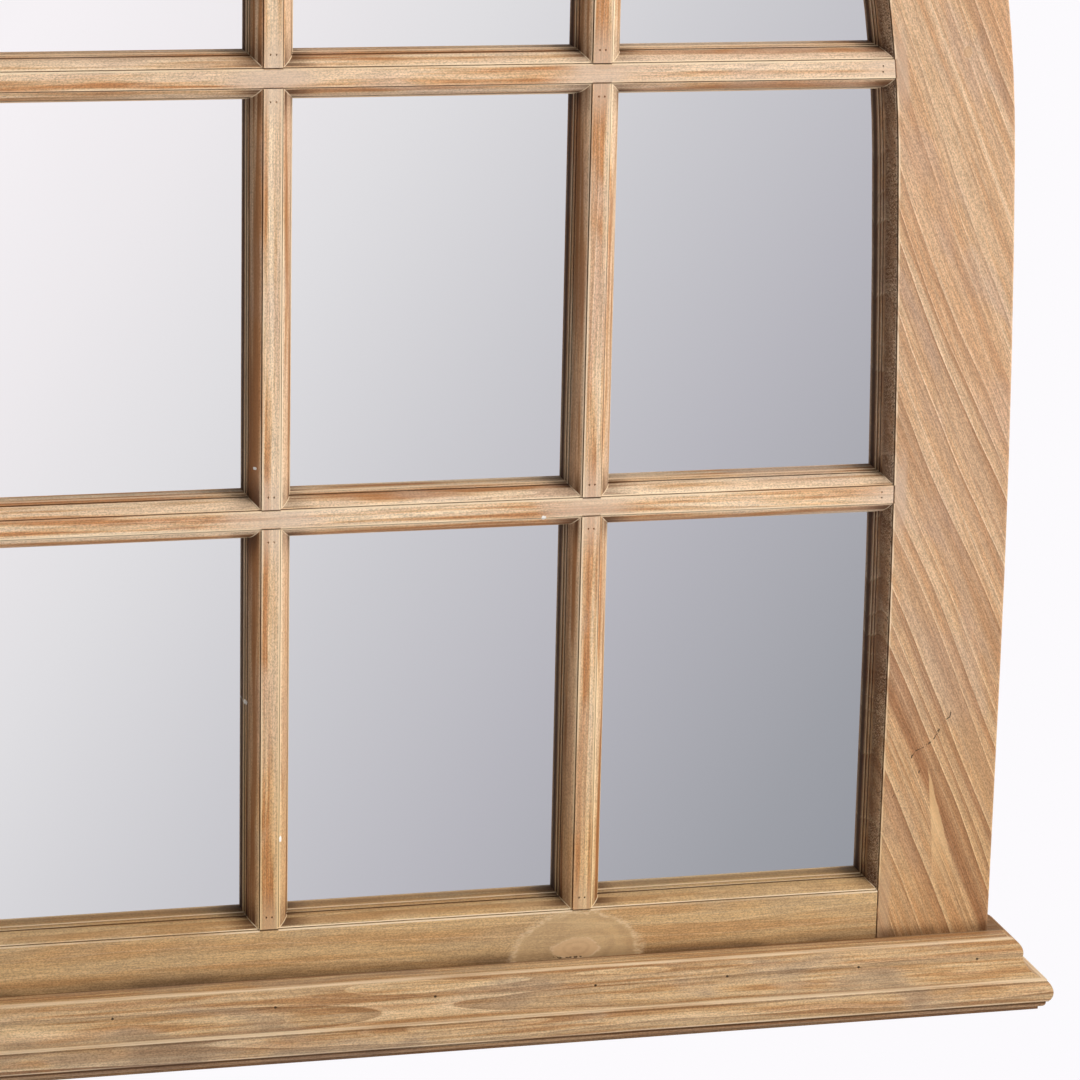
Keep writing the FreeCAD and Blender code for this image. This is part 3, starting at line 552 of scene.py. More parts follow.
def saw_teeth(width, seed):
    """One set of rings: how dark each place is, its pale line and the ring's tint."""
    turns = s.math("DIVIDE", across, width)
    uneven = s.add("TexNoise", {"noise_dimensions": "1D"}, W=s.plus(s.times(turns, 0.43), seed),
                   Scale=1.0, Detail=1.0).outputs[0]
    turns = s.plus(turns, s.times(s.minus(uneven, 0.5), 2.6))
    phase = s.math("FRACT", turns)
    number = s.plus(s.math("FLOOR", turns), seed)
    random = s.add("TexWhiteNoise", {"noise_dimensions": "1D"}, W=number).outputs
    split = s.add("SeparateColor", None, Color=random["Color"]).outputs
    strength = s.ramp(random["Value"], 0.0, 1.0, 0.25, 1.0)
    dark = s.times(s.math("POWER", phase, 2.0), strength)
    start = s.times(s.ramp(phase, 0.0, 0.02), s.ramp(phase, 0.13, 0.03))
    return dark, s.times(start, strength), split[1]


broad = saw_teeth(s.given["Ring Width"], 0.0)
narrow = saw_teeth(s.times(s.given["Ring Width"], 0.31), 40.5)
streak_size = s.xyz(X=s.times(s.given["Streak Width"], 34.0), Y=s.given["Streak Width"],
                    Z=s.given["Streak Width"])
s.give(
    Rings=s.plus(s.times(broad[0], 0.85), s.times(narrow[0], 0.25)),
    Pale_Line=s.strongest(broad[1], s.times(narrow[1], 0.35)), Ring_Tint=broad[2],
    Fibres=s.noise(place, (16.0, 0.7, 0.7), 2.0, 0.6),
    Streaks=s.noise(place, streak_size, 3.0, 0.5),
    Blotches=s.noise(place, (75.0, 26.0, 26.0), 2.5, 0.55, 0.4),
    Flecks=s.noise(place, (1.3, 0.8, 0.8), 2.0, 0.6))
softwood_grain = s.tree

# %% [markdown]
# The frame was stained, rubbed back and waxed. One group mixes the finish from the masks
# of the grain and of the moulding: pale and honey wood, a greyish wash, dark ring ends,
# the brown glaze that stays in every groove, painted shade in the grooves and corners, and
# painted highlights on the edges. It also gives the gloss and the height.

# %%
# Shader group: rubbed stain, painted shade and painted highlights
# the dark brown is the glaze of the stain and is also laid as painted shade; the palest colour
# is rubbed wood and is also laid as painted highlights
wood_colours = tones(
    Pale=(243, 217, 184), Honey=(226, 188, 144), Amber=(190, 130, 82), Washed=(222, 197, 174),
    Dark=(166, 118, 80), Glaze=(72, 42, 21), Rubbed=(246, 222, 188))
masks = ["Rings", "Pale Line", "Ring Tint", "Fibres", "Streaks", "Blotches", "Flecks",
         "Groove", "Rub", "Hollow", "Smudge", "Wash", "Foot"]
incoming = {name: 0.5 for name in masks[:7]}
incoming.update({name: 0.0 for name in masks[7:]})
incoming.update({name: (*colour, 1) for name, colour in wood_colours.items()})
incoming.update({"Ring Contrast": 0.6, "Streak Contrast": 0.8, "Amber Amount": 0.5})
s = Group("rubbed_stain", incoming, ["Color", "Roughness", "Height"])
have = s.given

paler = s.times(s.ramp(have["Streaks"], 0.45, 0.58), have["Streak Contrast"])
colour = s.mix(paler, have["Honey"], have["Pale"])
amber = s.times(s.ramp(have["Streaks"], 0.49, 0.39), have["Amber Amount"])
colour = s.mix(amber, colour, have["Amber"])
colour = s.mix(s.ramp(have["Blotches"], 0.48, 0.66, 0.0, 0.6), colour, have["Washed"])
colour = s.mix(s.ramp(have["Ring Tint"], 0.6, 1.0, 0.0, 0.3), colour, have["Amber"])
colour = s.mix(s.times(have["Rings"], have["Ring Contrast"]), colour, have["Dark"])
colour = s.mix(s.times(have["Pale Line"], 0.8, have["Ring Contrast"]), colour, have["Rubbed"])
fine = s.times(s.ramp(have["Fibres"], 0.34, 0.66, 0.86, 1.13),
               s.ramp(have["Flecks"], 0.34, 0.62, 0.80, 1.17))
colour = s.mix(1.0, colour, fine, "MULTIPLY")
colour = s.mix(s.ramp(have["Flecks"], 0.71, 0.78, 0.0, 0.5), colour, have["Dark"])
colour = s.mix(s.times(have["Wash"], 0.55), colour, have["Washed"])
colour = s.mix(s.times(have["Hollow"], 0.75), colour, have["Amber"])
colour = s.mix(s.times(have["Hollow"], 0.34), colour, have["Glaze"])
colour = s.mix(s.times(have["Smudge"], 0.8), colour, have["Glaze"])
colour = s.mix(s.times(have["Foot"], 0.7), colour, have["Glaze"])
# painted highlights and rubbed edges in the pale colour
colour = s.mix(s.times(have["Rub"], 0.85), colour, have["Rubbed"])
# glaze and painted shade in the grooves and inner corners
colour = s.mix(have["Groove"], colour, have["Glaze"])
rough = s.ramp(have["Fibres"], 0.2, 0.8, 0.52, 0.68)
rough = s.plus(rough, s.times(have["Groove"], 0.2), s.times(have["Rub"], -0.06))
height = s.plus(s.times(have["Fibres"], 0.6), s.times(have["Rings"], -0.3),
                s.times(have["Flecks"], 0.3), s.times(have["Groove"], -0.4))
s.give(Color=colour, Roughness=rough, Height=height)
rubbed_stain = s.tree

# %% [markdown]
# Real boards have single marks that no pattern gives: a knot, a hair crack, the stain
# round a nail, a torn chip. Each function here returns a step that lays its mark over the
# colour at a place on the front.

# %%
# Marks: knots, cracks, nail stains and chips (places are x, z on the front, in millimetres)
crack_colour = screen(58, 42, 28)
chip_colour = screen(252, 247, 240)


def flat_place(s, spot, centre, size):
    """A point's place in a mark, where the mark's edge lies at a distance of 1."""
    moved = s.vector("SUBTRACT", spot, (centre[0], 0, centre[1]))
    return s.vector("DIVIDE", s.vector("MULTIPLY", moved, (1, 0, 1)), (size[0], 1, size[1]))


def knot(centre, size, ring_count, pale, dark, halo=0.0):
    """Rings round a knot; a halo of grey fibres lies on its left."""
    def lay(s, spot, colour):
        inner = flat_place(s, spot, centre, size)
        wobble = s.noise(spot, (0.5 * size[0],) * 3, 3.0)
        fuzz = s.noise(spot, (2.4, 2.4, 0.9), 2.0)
        reach = s.plus(s.vector("LENGTH", inner), s.times(wobble, 0.55), s.times(fuzz, 0.05),
                       -0.30)
        inside = s.ramp(reach, 1.04, 0.94)
        line = s.math("SINE", s.times(reach, 2 * math.pi * ring_count))
        heart = s.mix(s.ramp(s.plus(line, fuzz), 0.2, 1.7, 0.0, 0.32), pale, dark)
        if halo:
            left = s.ramp(s.axes(inner)["X"], 0.15, -0.4)
            band = s.window(reach, 0.42, 0.55, 0.70, 0.92)
            grey_fibres = s.times(left, band, s.ramp(fuzz, 0.36, 0.60, 0.3, 1.0), halo)
            heart = s.mix(grey_fibres, heart, dark)
        colour = s.mix(s.times(inside, 0.6), colour, heart)
        rim = s.times(s.window(reach, 0.90, 0.97, 0.99, 1.10), s.ramp(fuzz, 0.35, 0.6, 0.0, 0.3))
        return s.mix(rim, colour, wood_colours["Rubbed"])
    return lay


def stroke(points, width, wander=0.6, tone=crack_colour, amount=0.85, broken=True):
    """A thin line through some points, such as a hair crack."""
    def lay(s, spot, colour):
        nearest = None
        for start, end in zip(points, points[1:]):
            run = Vector((end[0] - start[0], 0, end[1] - start[1]))
            flat = s.vector("SUBTRACT", s.vector("MULTIPLY", spot, (1, 0, 1)),
                            (start[0], 0, start[1]))
            share = s.math("DIVIDE", s.vector("DOT_PRODUCT", flat, tuple(run)),
                           run.length_squared, clamp=True)
            along = s.scaled(tuple(run), share)
            miss = s.vector("LENGTH", s.vector("SUBTRACT", flat, along))
            nearest = miss if nearest is None else s.math("MINIMUM", nearest, miss)
        bent = s.times(s.minus(s.noise(spot, (3.0, 3.0, 3.0), 2.0), 0.5), 2 * wander)
        near = s.ramp(s.math("ABSOLUTE", s.plus(nearest, bent)), width, 0.4 * width)
        if broken:
            near = s.times(near, s.ramp(s.noise(spot, (1.8, 1.8, 1.8), 1.0), 0.42, 0.54))
        return s.mix(s.times(near, amount), colour, tone)
    return lay


def flare(start, end, spread, tone, amount):
    """A pale tongue that starts at a point and widens until it fades."""
    def lay(s, spot, colour):
        run = Vector((end[0] - start[0], 0, end[1] - start[1]))
        side = Vector((run.z, 0, -run.x)).normalized()
        moved = s.vector("SUBTRACT", spot, (start[0], 0, start[1]))
        share = s.math("DIVIDE", s.vector("DOT_PRODUCT", moved, tuple(run)), run.length_squared)
        sway = s.times(s.minus(s.noise(spot, (14.0, 14.0, 14.0), 2.0), 0.5), 3.0)
        aside = s.math("ABSOLUTE", s.plus(s.vector("DOT_PRODUCT", moved, tuple(side)), sway))
        room_left = s.minus(s.times(share, spread), aside)
        inside = s.times(s.ramp(room_left, 0.0, 0.8), s.ramp(share, 0.0, 0.05),
                         s.ramp(share, 1.0, 0.35), amount)
        return s.mix(inside, colour, tone)
    return lay


def nail_stains(places, height, size):
    """A dark ring where each nail was driven and sunk, the same on both sides."""
    def lay(s, spot, colour):
        both = s.vector("ABSOLUTE", spot)
        for x in places:
            reach = s.vector("LENGTH", flat_place(s, both, (x, height), (size, size)))
            colour = s.mix(s.ramp(reach, 1.1, 0.7, 0.0, 0.8), colour, crack_colour)
        return colour
    return lay


def chip(centre, size):
    """A torn spot where bare white wood shows."""
    def lay(s, spot, colour):
        wobble = s.times(s.minus(s.noise(spot, (0.9, 0.9, 0.9), 1.0), 0.5), 0.9)
        reach = s.plus(s.vector("LENGTH", flat_place(s, spot, centre, size)), wobble)
        return s.mix(s.ramp(reach, 1.1, 0.85), colour, chip_colour)
    return lay


# %% [markdown]
# Every moulded piece asks the two groups above for its masks. `own` names the distance
# that its own moulding follows, and `others` those of the pieces that meet it in a mitre.

# %%
# Masks of a moulded piece
def moulded(own, *others, shade_and_soak=0.9, washed=True):
    """A step that gives the masks of a piece whose edge is moulded."""
    def masks_of(s, spot, streaks, blotches):
        near = s.add("Group", {"node_tree": edge_distances}, Place=spot).outputs
        other = near[others[0]]
        for name in others[1:]:
            other = s.math("MINIMUM", other, near[name])
        outer = s.plus(near["Board"], side_width) if own == "Board" else 40.0
        found = s.add("Group", {"node_tree": moulding_masks}, Own=near[own], Other=other,
                      Depth=near["Depth"], Outer=outer, Streaks=streaks, Blotches=blotches,
                      Dirt=shade_and_soak)
        kinds = ["Groove", "Rub", "Hollow", "Smudge"] + (["Wash"] if washed else [])
        return {name: found.outputs[name] for name in kinds}
    return masks_of


# %% [markdown]
# Where the cutter ran across the slanting grain of the arched boards, the moulding is
# torn: dark curly ripples, and specks by the groove. A sine bent by fine noise draws the
# ripples, and the same wave goes into the height, so the light catches them.

# %%
# Torn grain on the arched boards
def torn_grain(s, place, own, colour, height):
    """Dark curly ripples on a moulded edge, where the cutter ran across the grain."""
    here = s.window(own, 0.1, 0.6, 5.6, 6.2)
    colour = s.mix(s.times(here, 0.38), colour, wood_colours["Glaze"])
    curl = s.noise(place, (1.8, 1.8, 3.4), 3.0, 0.65, 1.5)
    patches = s.ramp(s.noise(place, (30.0, 30.0, 50.0), 1.0), 0.38, 0.58, 0.2, 1.0)
    wave = s.math("SINE", s.plus(s.times(s.axes(place)["Z"], 2.4), s.times(curl, 26.0),
                                 s.times(own, 0.9)))
    colour = s.mix(s.times(here, patches, s.ramp(wave, -0.4, 0.9), 0.6), colour,
                   wood_colours["Glaze"])
    colour = s.mix(s.times(here, patches, s.ramp(wave, -0.6, -1.0), 0.30), colour,
                   wood_colours["Pale"])
    speck = s.noise(place, (0.9, 0.9, 1.1), 2.0, 0.7)
    by_quirk = s.times(here, s.ramp(own, 4.2, 0.8, 0.4, 1.0))
    colour = s.mix(s.times(by_quirk, s.ramp(speck, 0.46, 0.38), 0.9), colour, crack_colour)
    colour = s.mix(s.times(by_quirk, s.ramp(speck, 0.66, 0.72), 0.6), colour,
                   wood_colours["Rubbed"])
    return colour, s.plus(height, s.times(here, s.plus(wave, speck), 0.6))


# %% [markdown]
# A wood material turns the board's own directions into the grain's: along, across and
# into the wood. Side boards lean their grain over, because an arch is sawn from straight
# boards, and the left board mirrors the right one with another seed.

# %%
# Wood material (heights over the sill and depth behind the front)
foot_height = 10.0
tint_bottom, tint_top = 20.0, 300.0
marks_end = (12.0, 20.0)
finishes = {}


def fresh_material(name):
    """A new material with only a Principled shader and its output."""
    made = bpy.data.materials.new(name)
    made.use_nodes = True
    return made, made.node_tree.nodes["Principled BSDF"]


def wood(name, grain, masks_of, *, seed, ring_width, waviness, contrast, streak_contrast, amber,
         colours=None, marks=(), streak_width=5.0, fold=False, torn=False, foot=False,
         low_tone=None):
    """One board's finish; low_tone tints it towards the sill."""
    along, across = grain
    made, shader = fresh_material(name)
    shader.inputs["Specular IOR Level"].default_value = 0.3
    s = Shader(made.node_tree)
    spot = s.add("TexCoord").outputs["Object"]
    place = s.scaled(spot, MM)
    grown = place
    number = seed
    if fold:
        left = s.math("LESS_THAN", s.axes(place)["X"], 0.0)
        number = s.plus(s.times(left, 4.7), seed)
        grown = s.vector("ABSOLUTE", place)
    into = Vector(along).cross(Vector(across))
    wood_place = s.xyz(**{letter: s.vector("DOT_PRODUCT", grown, tuple(way))
                          for letter, way in zip("XYZ", (along, across, into))})
    found = s.add("Group", {"node_tree": softwood_grain}, Wood_Place=wood_place,
                  Ring_Width=ring_width, Waviness=waviness, Streak_Width=streak_width,
                  Seed=number).outputs
    given = {title: found[title] for title in masks[:7]}
    given.update(masks_of(s, spot, given["Streaks"], given["Blotches"]))
    up = s.minus(s.axes(place)["Z"], sill_top)
    if foot:
        # darker towards the sill, in blotches
        blotched = s.ramp(given["Blotches"], 0.35, 0.62, 0.5, 1.0)
        given["Foot"] = s.times(s.ramp(up, foot_height, 1.0), blotched)
    look = s.add("Group", {"node_tree": rubbed_stain}, Ring_Contrast=contrast,
                 Streak_Contrast=streak_contrast, Amber_Amount=amber)
    for title, value in {**given, **(colours or {})}.items():
        s.plug(look.inputs[title], value)
    colour, height = look.outputs["Color"], look.outputs["Height"]
    if low_tone:
        toned = s.mix(s.ramp(up, tint_top, tint_bottom), (1, 1, 1), low_tone)
        colour = s.mix(1.0, colour, toned, "MULTIPLY")
    if torn:
        own = s.add("Group", {"node_tree": edge_distances}, Place=spot).outputs["Board"]
        colour, height = torn_grain(s, place, own, colour, height)
    plain = colour
    for mark in marks:
        colour = mark(s, place, colour)
    if marks:
        behind = s.minus(s.axes(place)["Y"], face_depth)
        colour = s.mix(s.ramp(behind, *marks_end), colour, plain)
    s.plug(shader.inputs["Base Color"], colour)
    s.plug(shader.inputs["Roughness"], look.outputs["Roughness"])
    bump = s.add("Bump", None, Height=height, Strength=0.4, Distance=0.0003)
    s.plug(shader.inputs["Normal"], bump.outputs[0])
    finishes[name] = made


# %% [markdown]
# The sill's moulding has its own section, so its masks come from the height alone: a dark
# painted shadow line under the lip where it meets the round nose, painted shade in the
# groove above the bead and along the bottom edge, and pale edges that are painted highlights.
# The top of the sill is darker where it meets the frame.

# %%
# Masks of the sill
lip_top, lip_bottom = 20.2, 19.2
groove_top, groove_bottom = 6.3, 5.1
bead_bottom = 2.0


def sill_masks(s, spot, streaks, blotches):
    axes = s.axes(s.scaled(spot, MM))
    z = axes["Z"]
    patchy = s.ramp(streaks, 0.30, 0.62, 0.3, 1.0)
    # painted shadow line under the lip
    under_lip = s.window(z, lip_bottom - 1.1, lip_bottom - 0.5,
                         lip_bottom - 0.1, lip_bottom + 0.1)
    # painted shade in the groove above the bead
    in_groove = s.window(z, groove_bottom - 0.6, groove_bottom, groove_top, groove_top + 0.5)
    # painted shade along the bottom edge, under the sill
    below = s.ramp(z, bead_bottom + 0.7, bead_bottom - 0.2, 0.0, 0.4)
    ahead = s.minus(face_depth, axes["Y"])
    at_frame = s.times(s.ramp(z, sill_top - 0.5, sill_top - 0.2), s.ramp(ahead, 2.2, 0.2))
    groove_glaze_and_shade = s.strongest(s.times(under_lip, 0.5), s.times(in_groove, 0.7), below,
                         s.times(at_frame, 0.6))
    # painted highlights on the lip, the ledge's edge and the edge over the groove
    on_lip = s.window(z, lip_bottom, lip_bottom + 0.3, lip_top, lip_top + 0.5)
    on_ledge = s.times(s.ramp(z, sill_top - 0.9, sill_top - 0.3), s.ramp(ahead, 12.8, 13.6))
    over_groove = s.window(z, groove_top + 0.3, groove_top + 0.6,
                           groove_top + 0.8, groove_top + 1.6)
    rub_and_highlight = s.strongest(on_lip, on_ledge, over_groove)
    dark_patches = s.ramp(blotches, 0.56, 0.74, 0.0, 0.35)
    return {"Groove": groove_glaze_and_shade, "Rub": s.times(rub_and_highlight, patchy), "Smudge": dark_patches}


# %% [markdown]
# The pieces were cut from different boards, so each has its own grain, seed and tints.
# The rail is greener and calmer, the bars are fine grained and rich, and the sill is
# streaky. The marks stand where the photograph shows them.

# %%
# Directions of the grain, colours and marks
lean = math.radians(24.0)
leaning = ((math.sin(lean), 0, -math.cos(lean)), (math.cos(lean), 0, math.sin(lean)))
level = ((1, 0, 0), (0, -0.5, 0.866))
standing = ((0, 0, 1), (0.894, 0.447, 0))
reaching_back = ((0, 1, 0), (0.5, 0, 0.866))

side_colours = tones(
    Pale=(218, 186, 152), Honey=(206, 168, 130), Amber=(202, 152, 112), Washed=(200, 172, 150),
    Dark=(156, 110, 78), Rubbed=(240, 212, 178))
rail_colours = tones(
    Pale=(203, 170, 124), Honey=(192, 154, 106), Amber=(184, 138, 90), Washed=(186, 158, 120),
    Dark=(152, 114, 74))
sill_colours = tones(
    Pale=(218, 190, 150), Honey=(190, 152, 106), Amber=(160, 108, 66), Washed=(184, 160, 132),
    Dark=(116, 76, 46), Rubbed=(240, 214, 178))
side_marks = (
    knot((409.6, 584.9), (2.8, 3.6), 1.6, screen(206, 166, 126), screen(160, 112, 76)),
    flare((405.0, 153.0), (421.0, 66.0), 9.0, screen(232, 192, 140), 0.6),
    stroke(((418.4, 184.6), (418.0, 181.0), (415.8, 179.6)), 0.5, 0.3),
    stroke(((411.6, 173.5), (408.0, 167.0), (402.0, 162.6), (396.0, 160.2), (394.6, 156.6)),
           0.55),
    stroke(((402.0, 149.8), (399.5, 147.4), (400.0, 145.0)), 0.6, 0.5),
    stroke(((387.4, 136.0), (383.0, 131.6)), 0.45),
)
rail_marks = (
    knot((188.0, 46.0), (38.0, 25.0), 2.6, screen(204, 172, 128), screen(150, 122, 90), 0.6),
    knot((187.0, 48.4), (14.5, 6.5), 2.2, screen(210, 174, 134), screen(170, 134, 98)),
    stroke(((172.5, 44.2), (178.0, 42.7), (192.5, 42.8)), 0.7, 0.5),
)
nail_places = [(low[0] + high[0]) / 2 * MM for low, high in loose_boxes("sill_brads")
               if low[0] > -0.001 and high[0] - low[0] < 0.002]
nail_height = middle("sill_brads", 2)
sill_marks = (nail_stains(nail_places, nail_height, 0.95),)
cross_marks = (chip((161.4, 315.9), (1.5, 1.3)),)
upright_marks = (chip((-9.2, 351.5), (0.9, 0.8)), chip((-12.6, 209.7), (0.8, 1.4)),
                 chip((6.6, 128.0), (0.7, 1.9)))

# %%
# The frame's woods
board_look = {"contrast": 1.0, "streak_contrast": 0.7, "amber": 0.35, "ring_width": 11.0,
              "colours": side_colours, "torn": True}
bar_look = {"contrast": 0.5, "streak_contrast": 1.0, "amber": 0.9, "ring_width": 6.0,
            "waviness": 1.2}
edge_look = {"contrast": 0.65, "ring_width": 6.0, "waviness": 2.0, "colours": sill_colours}

wood("side_wood", leaning, moulded("Board", "Cross"), seed=1.0, waviness=2.2, marks=side_marks,
     fold=True, foot=True, low_tone=(0.86, 0.78, 0.62), **board_look)
wood("crown_wood", level, moulded("Board", "Upright"), seed=2.0, waviness=2.6, **board_look)
# the rail and the cross bars have walls facing up and down, not sideways, so less shade is
# painted by their glass
wood("rail_wood", level, moulded("Cross", "Upright", "Board", shade_and_soak=0.35, washed=False), seed=3.0,
     ring_width=13.0, waviness=3.0, contrast=0.40, streak_contrast=0.7, amber=0.45,
     colours=rail_colours, marks=rail_marks, foot=True)
wood("cross_bar_wood", level, moulded("Cross", "Upright", "Board", shade_and_soak=0.25), seed=4.0,
     marks=cross_marks, **bar_look)
wood("upright_wood", standing, moulded("Upright", "Cross", "Board"), seed=5.0,
     marks=upright_marks, low_tone=(0.86, 0.78, 0.60), **bar_look)
wood("sill_wood", level, sill_masks, seed=6.0, ring_width=7.0, waviness=2.2, contrast=0.6,
     streak_contrast=0.6, amber=0.4, colours=sill_colours, streak_width=3.0)
wood("sill_moulding_wood", level, sill_masks, seed=7.0, streak_contrast=0.6, amber=0.45,
     marks=sill_marks, streak_width=3.0, **edge_look)
wood("sill_return_wood", reaching_back, sill_masks, seed=8.0, streak_contrast=0.8, amber=0.55,
     streak_width=2.4, **edge_look)
print(len(finishes), "wood finishes")

# %% [markdown]
# The mirror is silvered glass: a metal reflection with a very faint haze. The pressed
# board behind it, the plated steel and the rubber pads are only seen from behind, and
# each gets a small pattern of its own.

# %%
# Mirror, pressed board, steel and rubber
mirror, shader = fresh_material("mirror_glass")
shader.inputs["Base Color"].default_value = (0.9, 0.905, 0.9, 1)
shader.inputs["Metallic"].default_value = 1.0
s = Shader(mirror.node_tree)
haze = s.noise(s.scaled(s.add("TexCoord").outputs["Object"], MM), (160.0, 160.0, 160.0), 2.0)
s.plug(shader.inputs["Roughness"], s.ramp(haze, 0.3, 0.7, 0.0, 0.012))
finishes["mirror_glass"] = mirror


def speckled(name, dark, pale, grain_size, rough, bump_depth, metallic=0.0):
    """A plain surface with fine speckles in colour, gloss and height."""
    made, shader = fresh_material(name)
    s = Shader(made.node_tree)
    place = s.scaled(s.add("TexCoord").outputs["Object"], MM)
    fine = s.noise(place, (grain_size,) * 3, 4.0, 0.6)
    broad = s.noise(place, (30 * grain_size,) * 3, 2.0)
    blend = s.plus(s.times(fine, 0.6), s.times(broad, 0.4))
    s.plug(shader.inputs["Base Color"], s.mix(s.ramp(blend, 0.3, 0.7), dark, pale))
    s.plug(shader.inputs["Roughness"], s.ramp(fine, 0.2, 0.8, *rough))
    bump = s.add("Bump", None, Height=fine, Strength=0.3, Distance=bump_depth)
    s.plug(shader.inputs["Normal"], bump.outputs[0])
    shader.inputs["Metallic"].default_value = metallic
    finishes[name] = made


speckled("hardboard", (0.16, 0.085, 0.04), (0.27, 0.155, 0.08), 1.1, (0.55, 0.8), 0.0003)
speckled("dowel_wood", (0.50, 0.34, 0.19), (0.64, 0.46, 0.28), 1.4, (0.5, 0.7), 0.0002)
speckled("brad_steel", (0.010, 0.008, 0.006), (0.035, 0.026, 0.02), 0.6, (0.5, 0.7), 0.0001)
speckled("screw_steel", (0.50, 0.49, 0.44), (0.68, 0.66, 0.58), 1.2, (0.25, 0.42), 0.0001, 1.0)
speckled("hanger_steel", (0.48, 0.47, 0.44), (0.66, 0.65, 0.60), 1.7, (0.25, 0.45), 0.0001, 1.0)
speckled("pad_rubber", (0.03, 0.03, 0.03), (0.06, 0.06, 0.06), 0.8, (0.65, 0.85), 0.0002)

# %% [markdown]
# ## Screws
# The back panel and the hangers are held by small pan head screws. Every screw is the
# same pressed part, so one Geometry Nodes tree makes it and copies it to each place. A
# mesh made by hand and copied would look the same, but here a size can still change.

# %%
# Geometry Nodes: inputs of the screws
screw_tree = bpy.data.node_groups.new("pan_head_screws", "GeometryNodeTree")
screw_inputs = {
    "Places": "Geometry", "Head Radius": "Float", "Head Height": "Float",
    "Shank Radius": "Float", "Shank Length": "Float", "Seed": "Int", "Metal": "Material",
}
for title, kind in screw_inputs.items():
    screw_tree.interface.new_socket(title, in_out="INPUT", socket_type="NodeSocket" + kind)
screw_tree.interface.new_socket("Screws", in_out="OUTPUT", socket_type="NodeSocketGeometry")
k = Shader(screw_tree)
given = screw_tree.nodes.new("NodeGroupInput").outputs
radius, rise = given["Head Radius"], given["Head Height"]
shank, length = given["Shank Radius"], given["Shank Length"]


def lifted(mesh, height):
    """A mesh moved along the screw's own axis."""
    return k.add("GeometryNodeTransform", None, Geometry=mesh,
                 Translation=k.xyz(Z=height)).outputs[0]


print("the screws take:", ", ".join(screw_inputs))

# %% [markdown]
# The head starts as a cylinder. Its points sink the more, the higher and the further out
# they lie, which bends the flat top to a dome. Two crossed boxes are then cut from it,
# as the punch presses the cross into a real head.

# %%
# Geometry Nodes: the head
rim_sag = 0.5
arm_length, arm_width, cross_bottom = 1.15, 0.22, 0.95
head = k.add("GeometryNodeMeshCylinder", {"fill_type": "TRIANGLE_FAN"}, Vertices=32,
             Side_Segments=1, Fill_Segments=5, Radius=radius, Depth=rise).outputs["Mesh"]
head = lifted(head, k.times(rise, 0.5))
where = k.add("GeometryNodeInputPosition").outputs[0]
outward = k.math("DIVIDE", k.vector("LENGTH", k.vector("MULTIPLY", where, (1, 1, 0))), radius)
sag = k.times(k.math("POWER", outward, 2.2), k.axes(where)["Z"], -rim_sag)
domed = k.add("GeometryNodeSetPosition", None, Geometry=head, Offset=k.xyz(Z=sag)).outputs[0]
pressed = k.add("GeometryNodeMeshBoolean", {"operation": "DIFFERENCE", "solver": "EXACT"})
k.plug(pressed.inputs["Mesh 1"], domed)
for wide, deep in ((arm_length, arm_width), (arm_width, arm_length)):
    box_size = k.xyz(X=k.times(radius, wide), Y=k.times(radius, deep), Z=rise)
    arm = k.add("GeometryNodeMeshCube", None, Size=box_size).outputs["Mesh"]
    k.plug(pressed.inputs["Mesh 2"], lifted(arm, k.times(rise, cross_bottom)))
print("head:", len(screw_tree.nodes), "nodes")

# %% [markdown]
# The shank is a rod with a point and hides in the wood, so it needs no thread. The copies
# turn by amounts of their own, as real screws stop where they bite.

# %%
# Geometry Nodes: the shank and the copies
rod_share = 0.8
rod_length = k.times(length, rod_share)
rod = k.add("GeometryNodeMeshCylinder", None, Vertices=20, Radius=shank, Depth=rod_length)
point = k.add("GeometryNodeMeshCone", None, Vertices=20, Radius_Top=0.0, Radius_Bottom=shank,
              Depth=k.times(length, 1 - rod_share)).outputs["Mesh"]
point = k.add("GeometryNodeTransform", None, Geometry=point, Rotation=(math.pi, 0, 0),
              Translation=k.xyz(Z=k.times(length, -rod_share)))
whole = k.add("GeometryNodeJoinGeometry")
for piece in (pressed.outputs["Mesh"], lifted(rod.outputs["Mesh"], k.times(rod_length, -0.5)),
              point.outputs[0]):
    k.plug(whole.inputs[0], piece)
copies = k.add("GeometryNodeInstanceOnPoints", None, Points=given["Places"],
               Instance=whole.outputs[0], Rotation=(-math.pi / 2, 0, 0)).outputs[0]
chance = k.add("FunctionNodeRandomValue", {"data_type": "FLOAT"})
for socket in chance.inputs:
    if socket.identifier == "Max_001":
        socket.default_value = math.pi
k.plug(chance.inputs["Seed"], given["Seed"])
turn = next(socket for socket in chance.outputs if socket.identifier == "Value_001")
turned = k.add("GeometryNodeRotateInstances", None, Instances=copies,
               Rotation=k.xyz(Z=turn)).outputs[0]
real = k.add("GeometryNodeRealizeInstances", None, Geometry=turned).outputs[0]
finished = k.add("GeometryNodeSetMaterial", None, Geometry=real, Material=given["Metal"])
k.plug(screw_tree.nodes.new("NodeGroupOutput").inputs[0], finished.outputs[0])
print("screw tree:", len(screw_tree.nodes), "nodes")

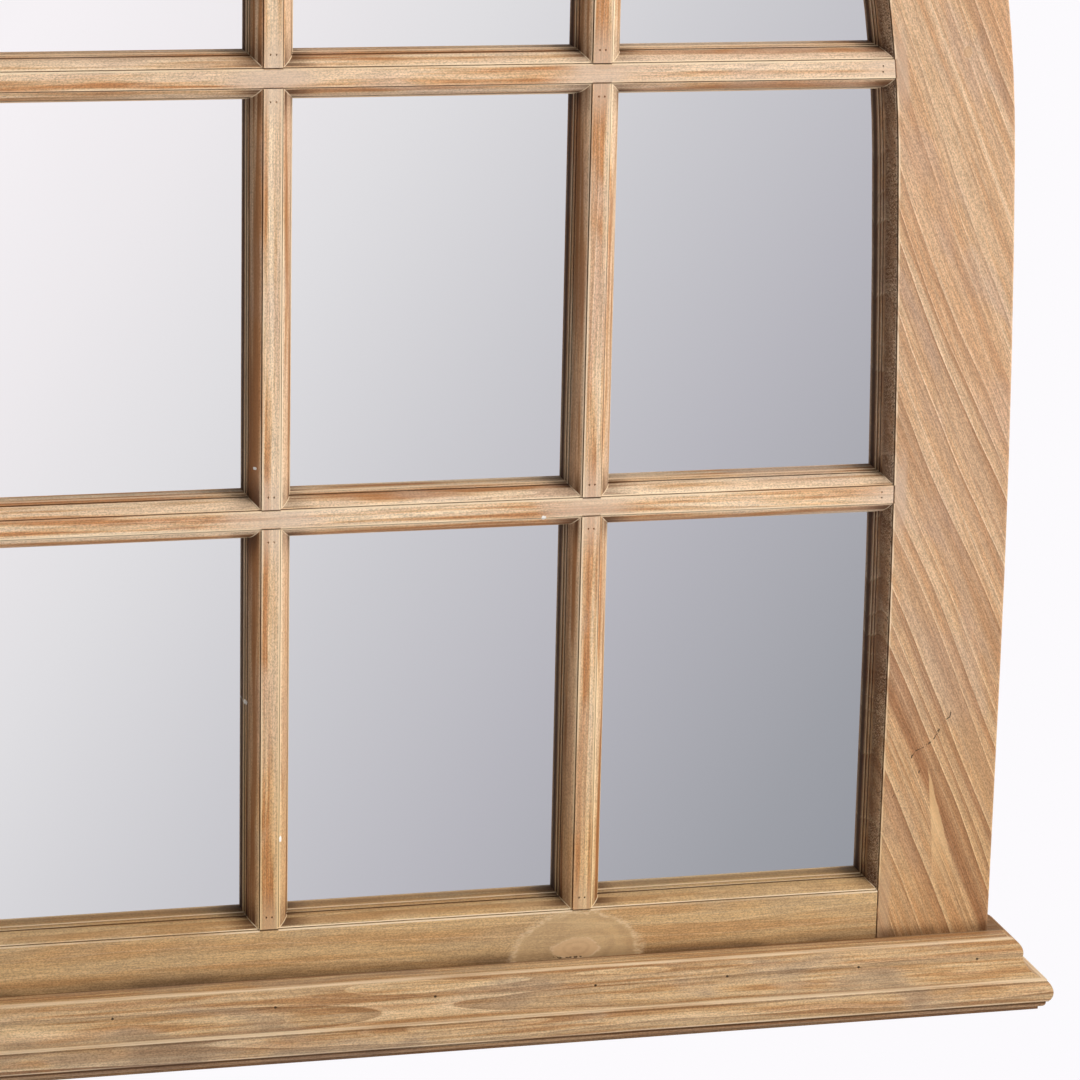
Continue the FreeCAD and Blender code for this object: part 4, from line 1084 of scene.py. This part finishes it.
# %% [markdown]
# The places come from the loose solids of the CAD nodes, so each screw sits in its own
# hole. The evaluated tree is kept as a plain mesh that stands for the CAD node.

# %%
# Put the screws where the CAD has them
def screws(name, node, head_height, shank_radius, seed):
    """Copies of the screw, one for each loose solid of a node, in that node's place."""
    boxes = loose_boxes(node)
    mesh = bpy.data.meshes.new(name)
    mesh.from_pydata([((low[0] + high[0]) / 2, high[1] - head_height, (low[2] + high[2]) / 2)
                      for low, high in boxes], [], [])
    holder = bpy.data.objects.new(name + "_places", mesh)
    scene.collection.objects.link(holder)
    low, high = boxes[0]
    values = {"Head Radius": (high[0] - low[0]) / 2, "Head Height": head_height,
              "Shank Radius": shank_radius, "Shank Length": high[1] - low[1] - head_height,
              "Seed": seed, "Metal": finishes["screw_steel"]}
    modifier = holder.modifiers.new("screws", "NODES")
    modifier.node_group = screw_tree
    for item in screw_tree.interface.items_tree:
        if item.in_out == "INPUT" and item.name in values:
            modifier[item.identifier] = values[item.name]
    ready = holder.evaluated_get(bpy.context.evaluated_depsgraph_get())
    made = bpy.data.objects.new(name, bpy.data.meshes.new_from_object(ready))
    made.data.name = name
    made.data.materials.clear()
    made.data.materials.append(finishes["screw_steel"])
    scene.collection.objects.link(made)
    bpy.data.objects.remove(holder)
    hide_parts(node)
    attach(made, "frame")
    print(name, len(boxes), "screws,", len(made.data.polygons), "faces")


screws("panel_screw_heads", "back_panel_screws", head_height=0.0018, shank_radius=0.0015, seed=3)
screws("hanger_screw_heads", "hanger_screws", head_height=0.0020, shank_radius=0.00175, seed=8)

# %% [markdown]
# Every CAD node names a slot in the record, and the slot names its finish. The two nodes
# that the screws stand for get theirs too, though they are hidden.

# %%
# Give every CAD node the finish of its slot
slot_of = {entry["node"]: entry["material_slot"] for entry in frame["record"]["subparts"]}
for name, node in frame["nodes"].items():
    for held in node.material_slots:
        held.material = finishes[slot_of[name]]
    if not node.material_slots:
        node.data.materials.append(finishes[slot_of[name]])
print("finished", len(slot_of), "nodes with", len(finishes), "finishes")
